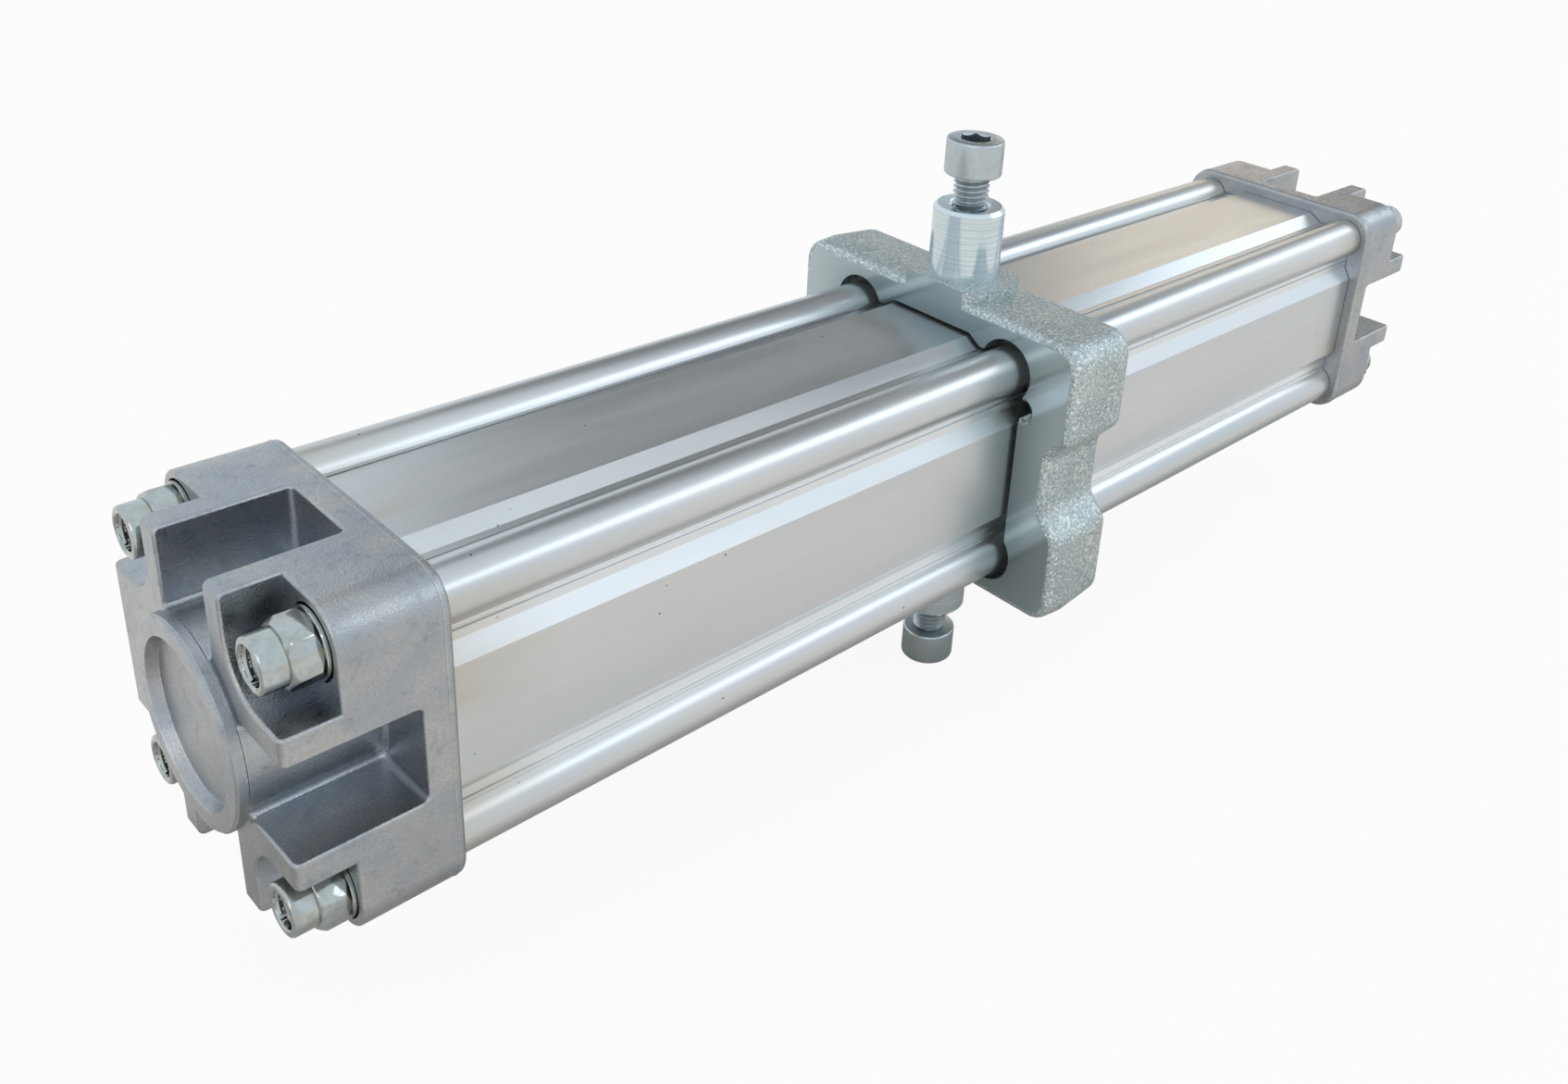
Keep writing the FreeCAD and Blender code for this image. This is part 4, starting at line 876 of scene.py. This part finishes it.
soft_box("key_soft_box", towards(-36, 38), 1.4, 1.7, 0.40, 1.5, "#e8f4ff", -12)
soft_box("left_soft_box", towards(-149, 32), 1.6, 0.7, 0.7, 1.0, "#fff8ee")
soft_box("warm_window", towards(30, 18), 1.5, 0.34, 0.34, 1.1, "#fff0dc")

world = bpy.data.worlds.new("white_room")
bpy.context.scene.world = world
world.use_nodes = True
room = world.node_tree
room.nodes.clear()
path = add(room, "LightPath", {})
mirrors = path.outputs["Is Glossy Ray"]
seen = add(room, "Math", {0: path.outputs["Is Camera Ray"], 1: mirrors}, operation="MAXIMUM")
seen = add(room, "Math", {0: seen, 1: path.outputs["Is Transmission Ray"]},
           operation="MAXIMUM")
window_light = coated(room, "#ffffff", [(mirrors, "#eef7ff")])
white = add(room, "Background", {"Color": window_light, "Strength": 1.0})
soft = add(room, "Background", {"Color": "#f4f6f8", "Strength": 0.75})
both = add(room, "MixShader", {0: seen, 1: soft, 2: white})
add(room, "OutputWorld", {"Surface": both})
bpy.context.scene.view_settings.view_transform = "Standard"
print("studio ready, floor at", round(FLOOR_Z / MM, 1), "mm")

# %% [markdown]
# ## Camera
# The photograph was taken from close by, left of and above the rear cap, with the camera
# tipped a few degrees. The place, direction and lens come from fitting the cylinder's known
# corners to the picture, and the picture's middle lies beside the lens axis, hence the shift.

# %% Camera

EYE = Vector((-77.91, -247.98, 191.29)) * MM
FORWARD = Vector((0.68214, 0.60568, -0.40968))
ROLL = math.radians(5.061)
LENS = 33.40
SHIFT = (-0.0903, -0.1213)
camera_data = bpy.data.cameras.new("photo_camera")
camera = bpy.data.objects.new("photo_camera", camera_data)
bpy.context.scene.collection.objects.link(camera)
bpy.context.scene.camera = camera
camera_data.sensor_fit = "HORIZONTAL"
camera_data.sensor_width = 36.0
camera_data.lens = LENS
camera_data.shift_x, camera_data.shift_y = SHIFT
camera_data.clip_start = 0.01
camera_data.clip_end = 50.0
camera.location = EYE
camera.rotation_mode = "QUATERNION"
camera.rotation_quaternion = FORWARD.to_track_quat("-Z", "Y") @ Quaternion((0, 0, 1), ROLL)
print("camera at", [round(v / MM) for v in camera.location], "lens", camera_data.lens)
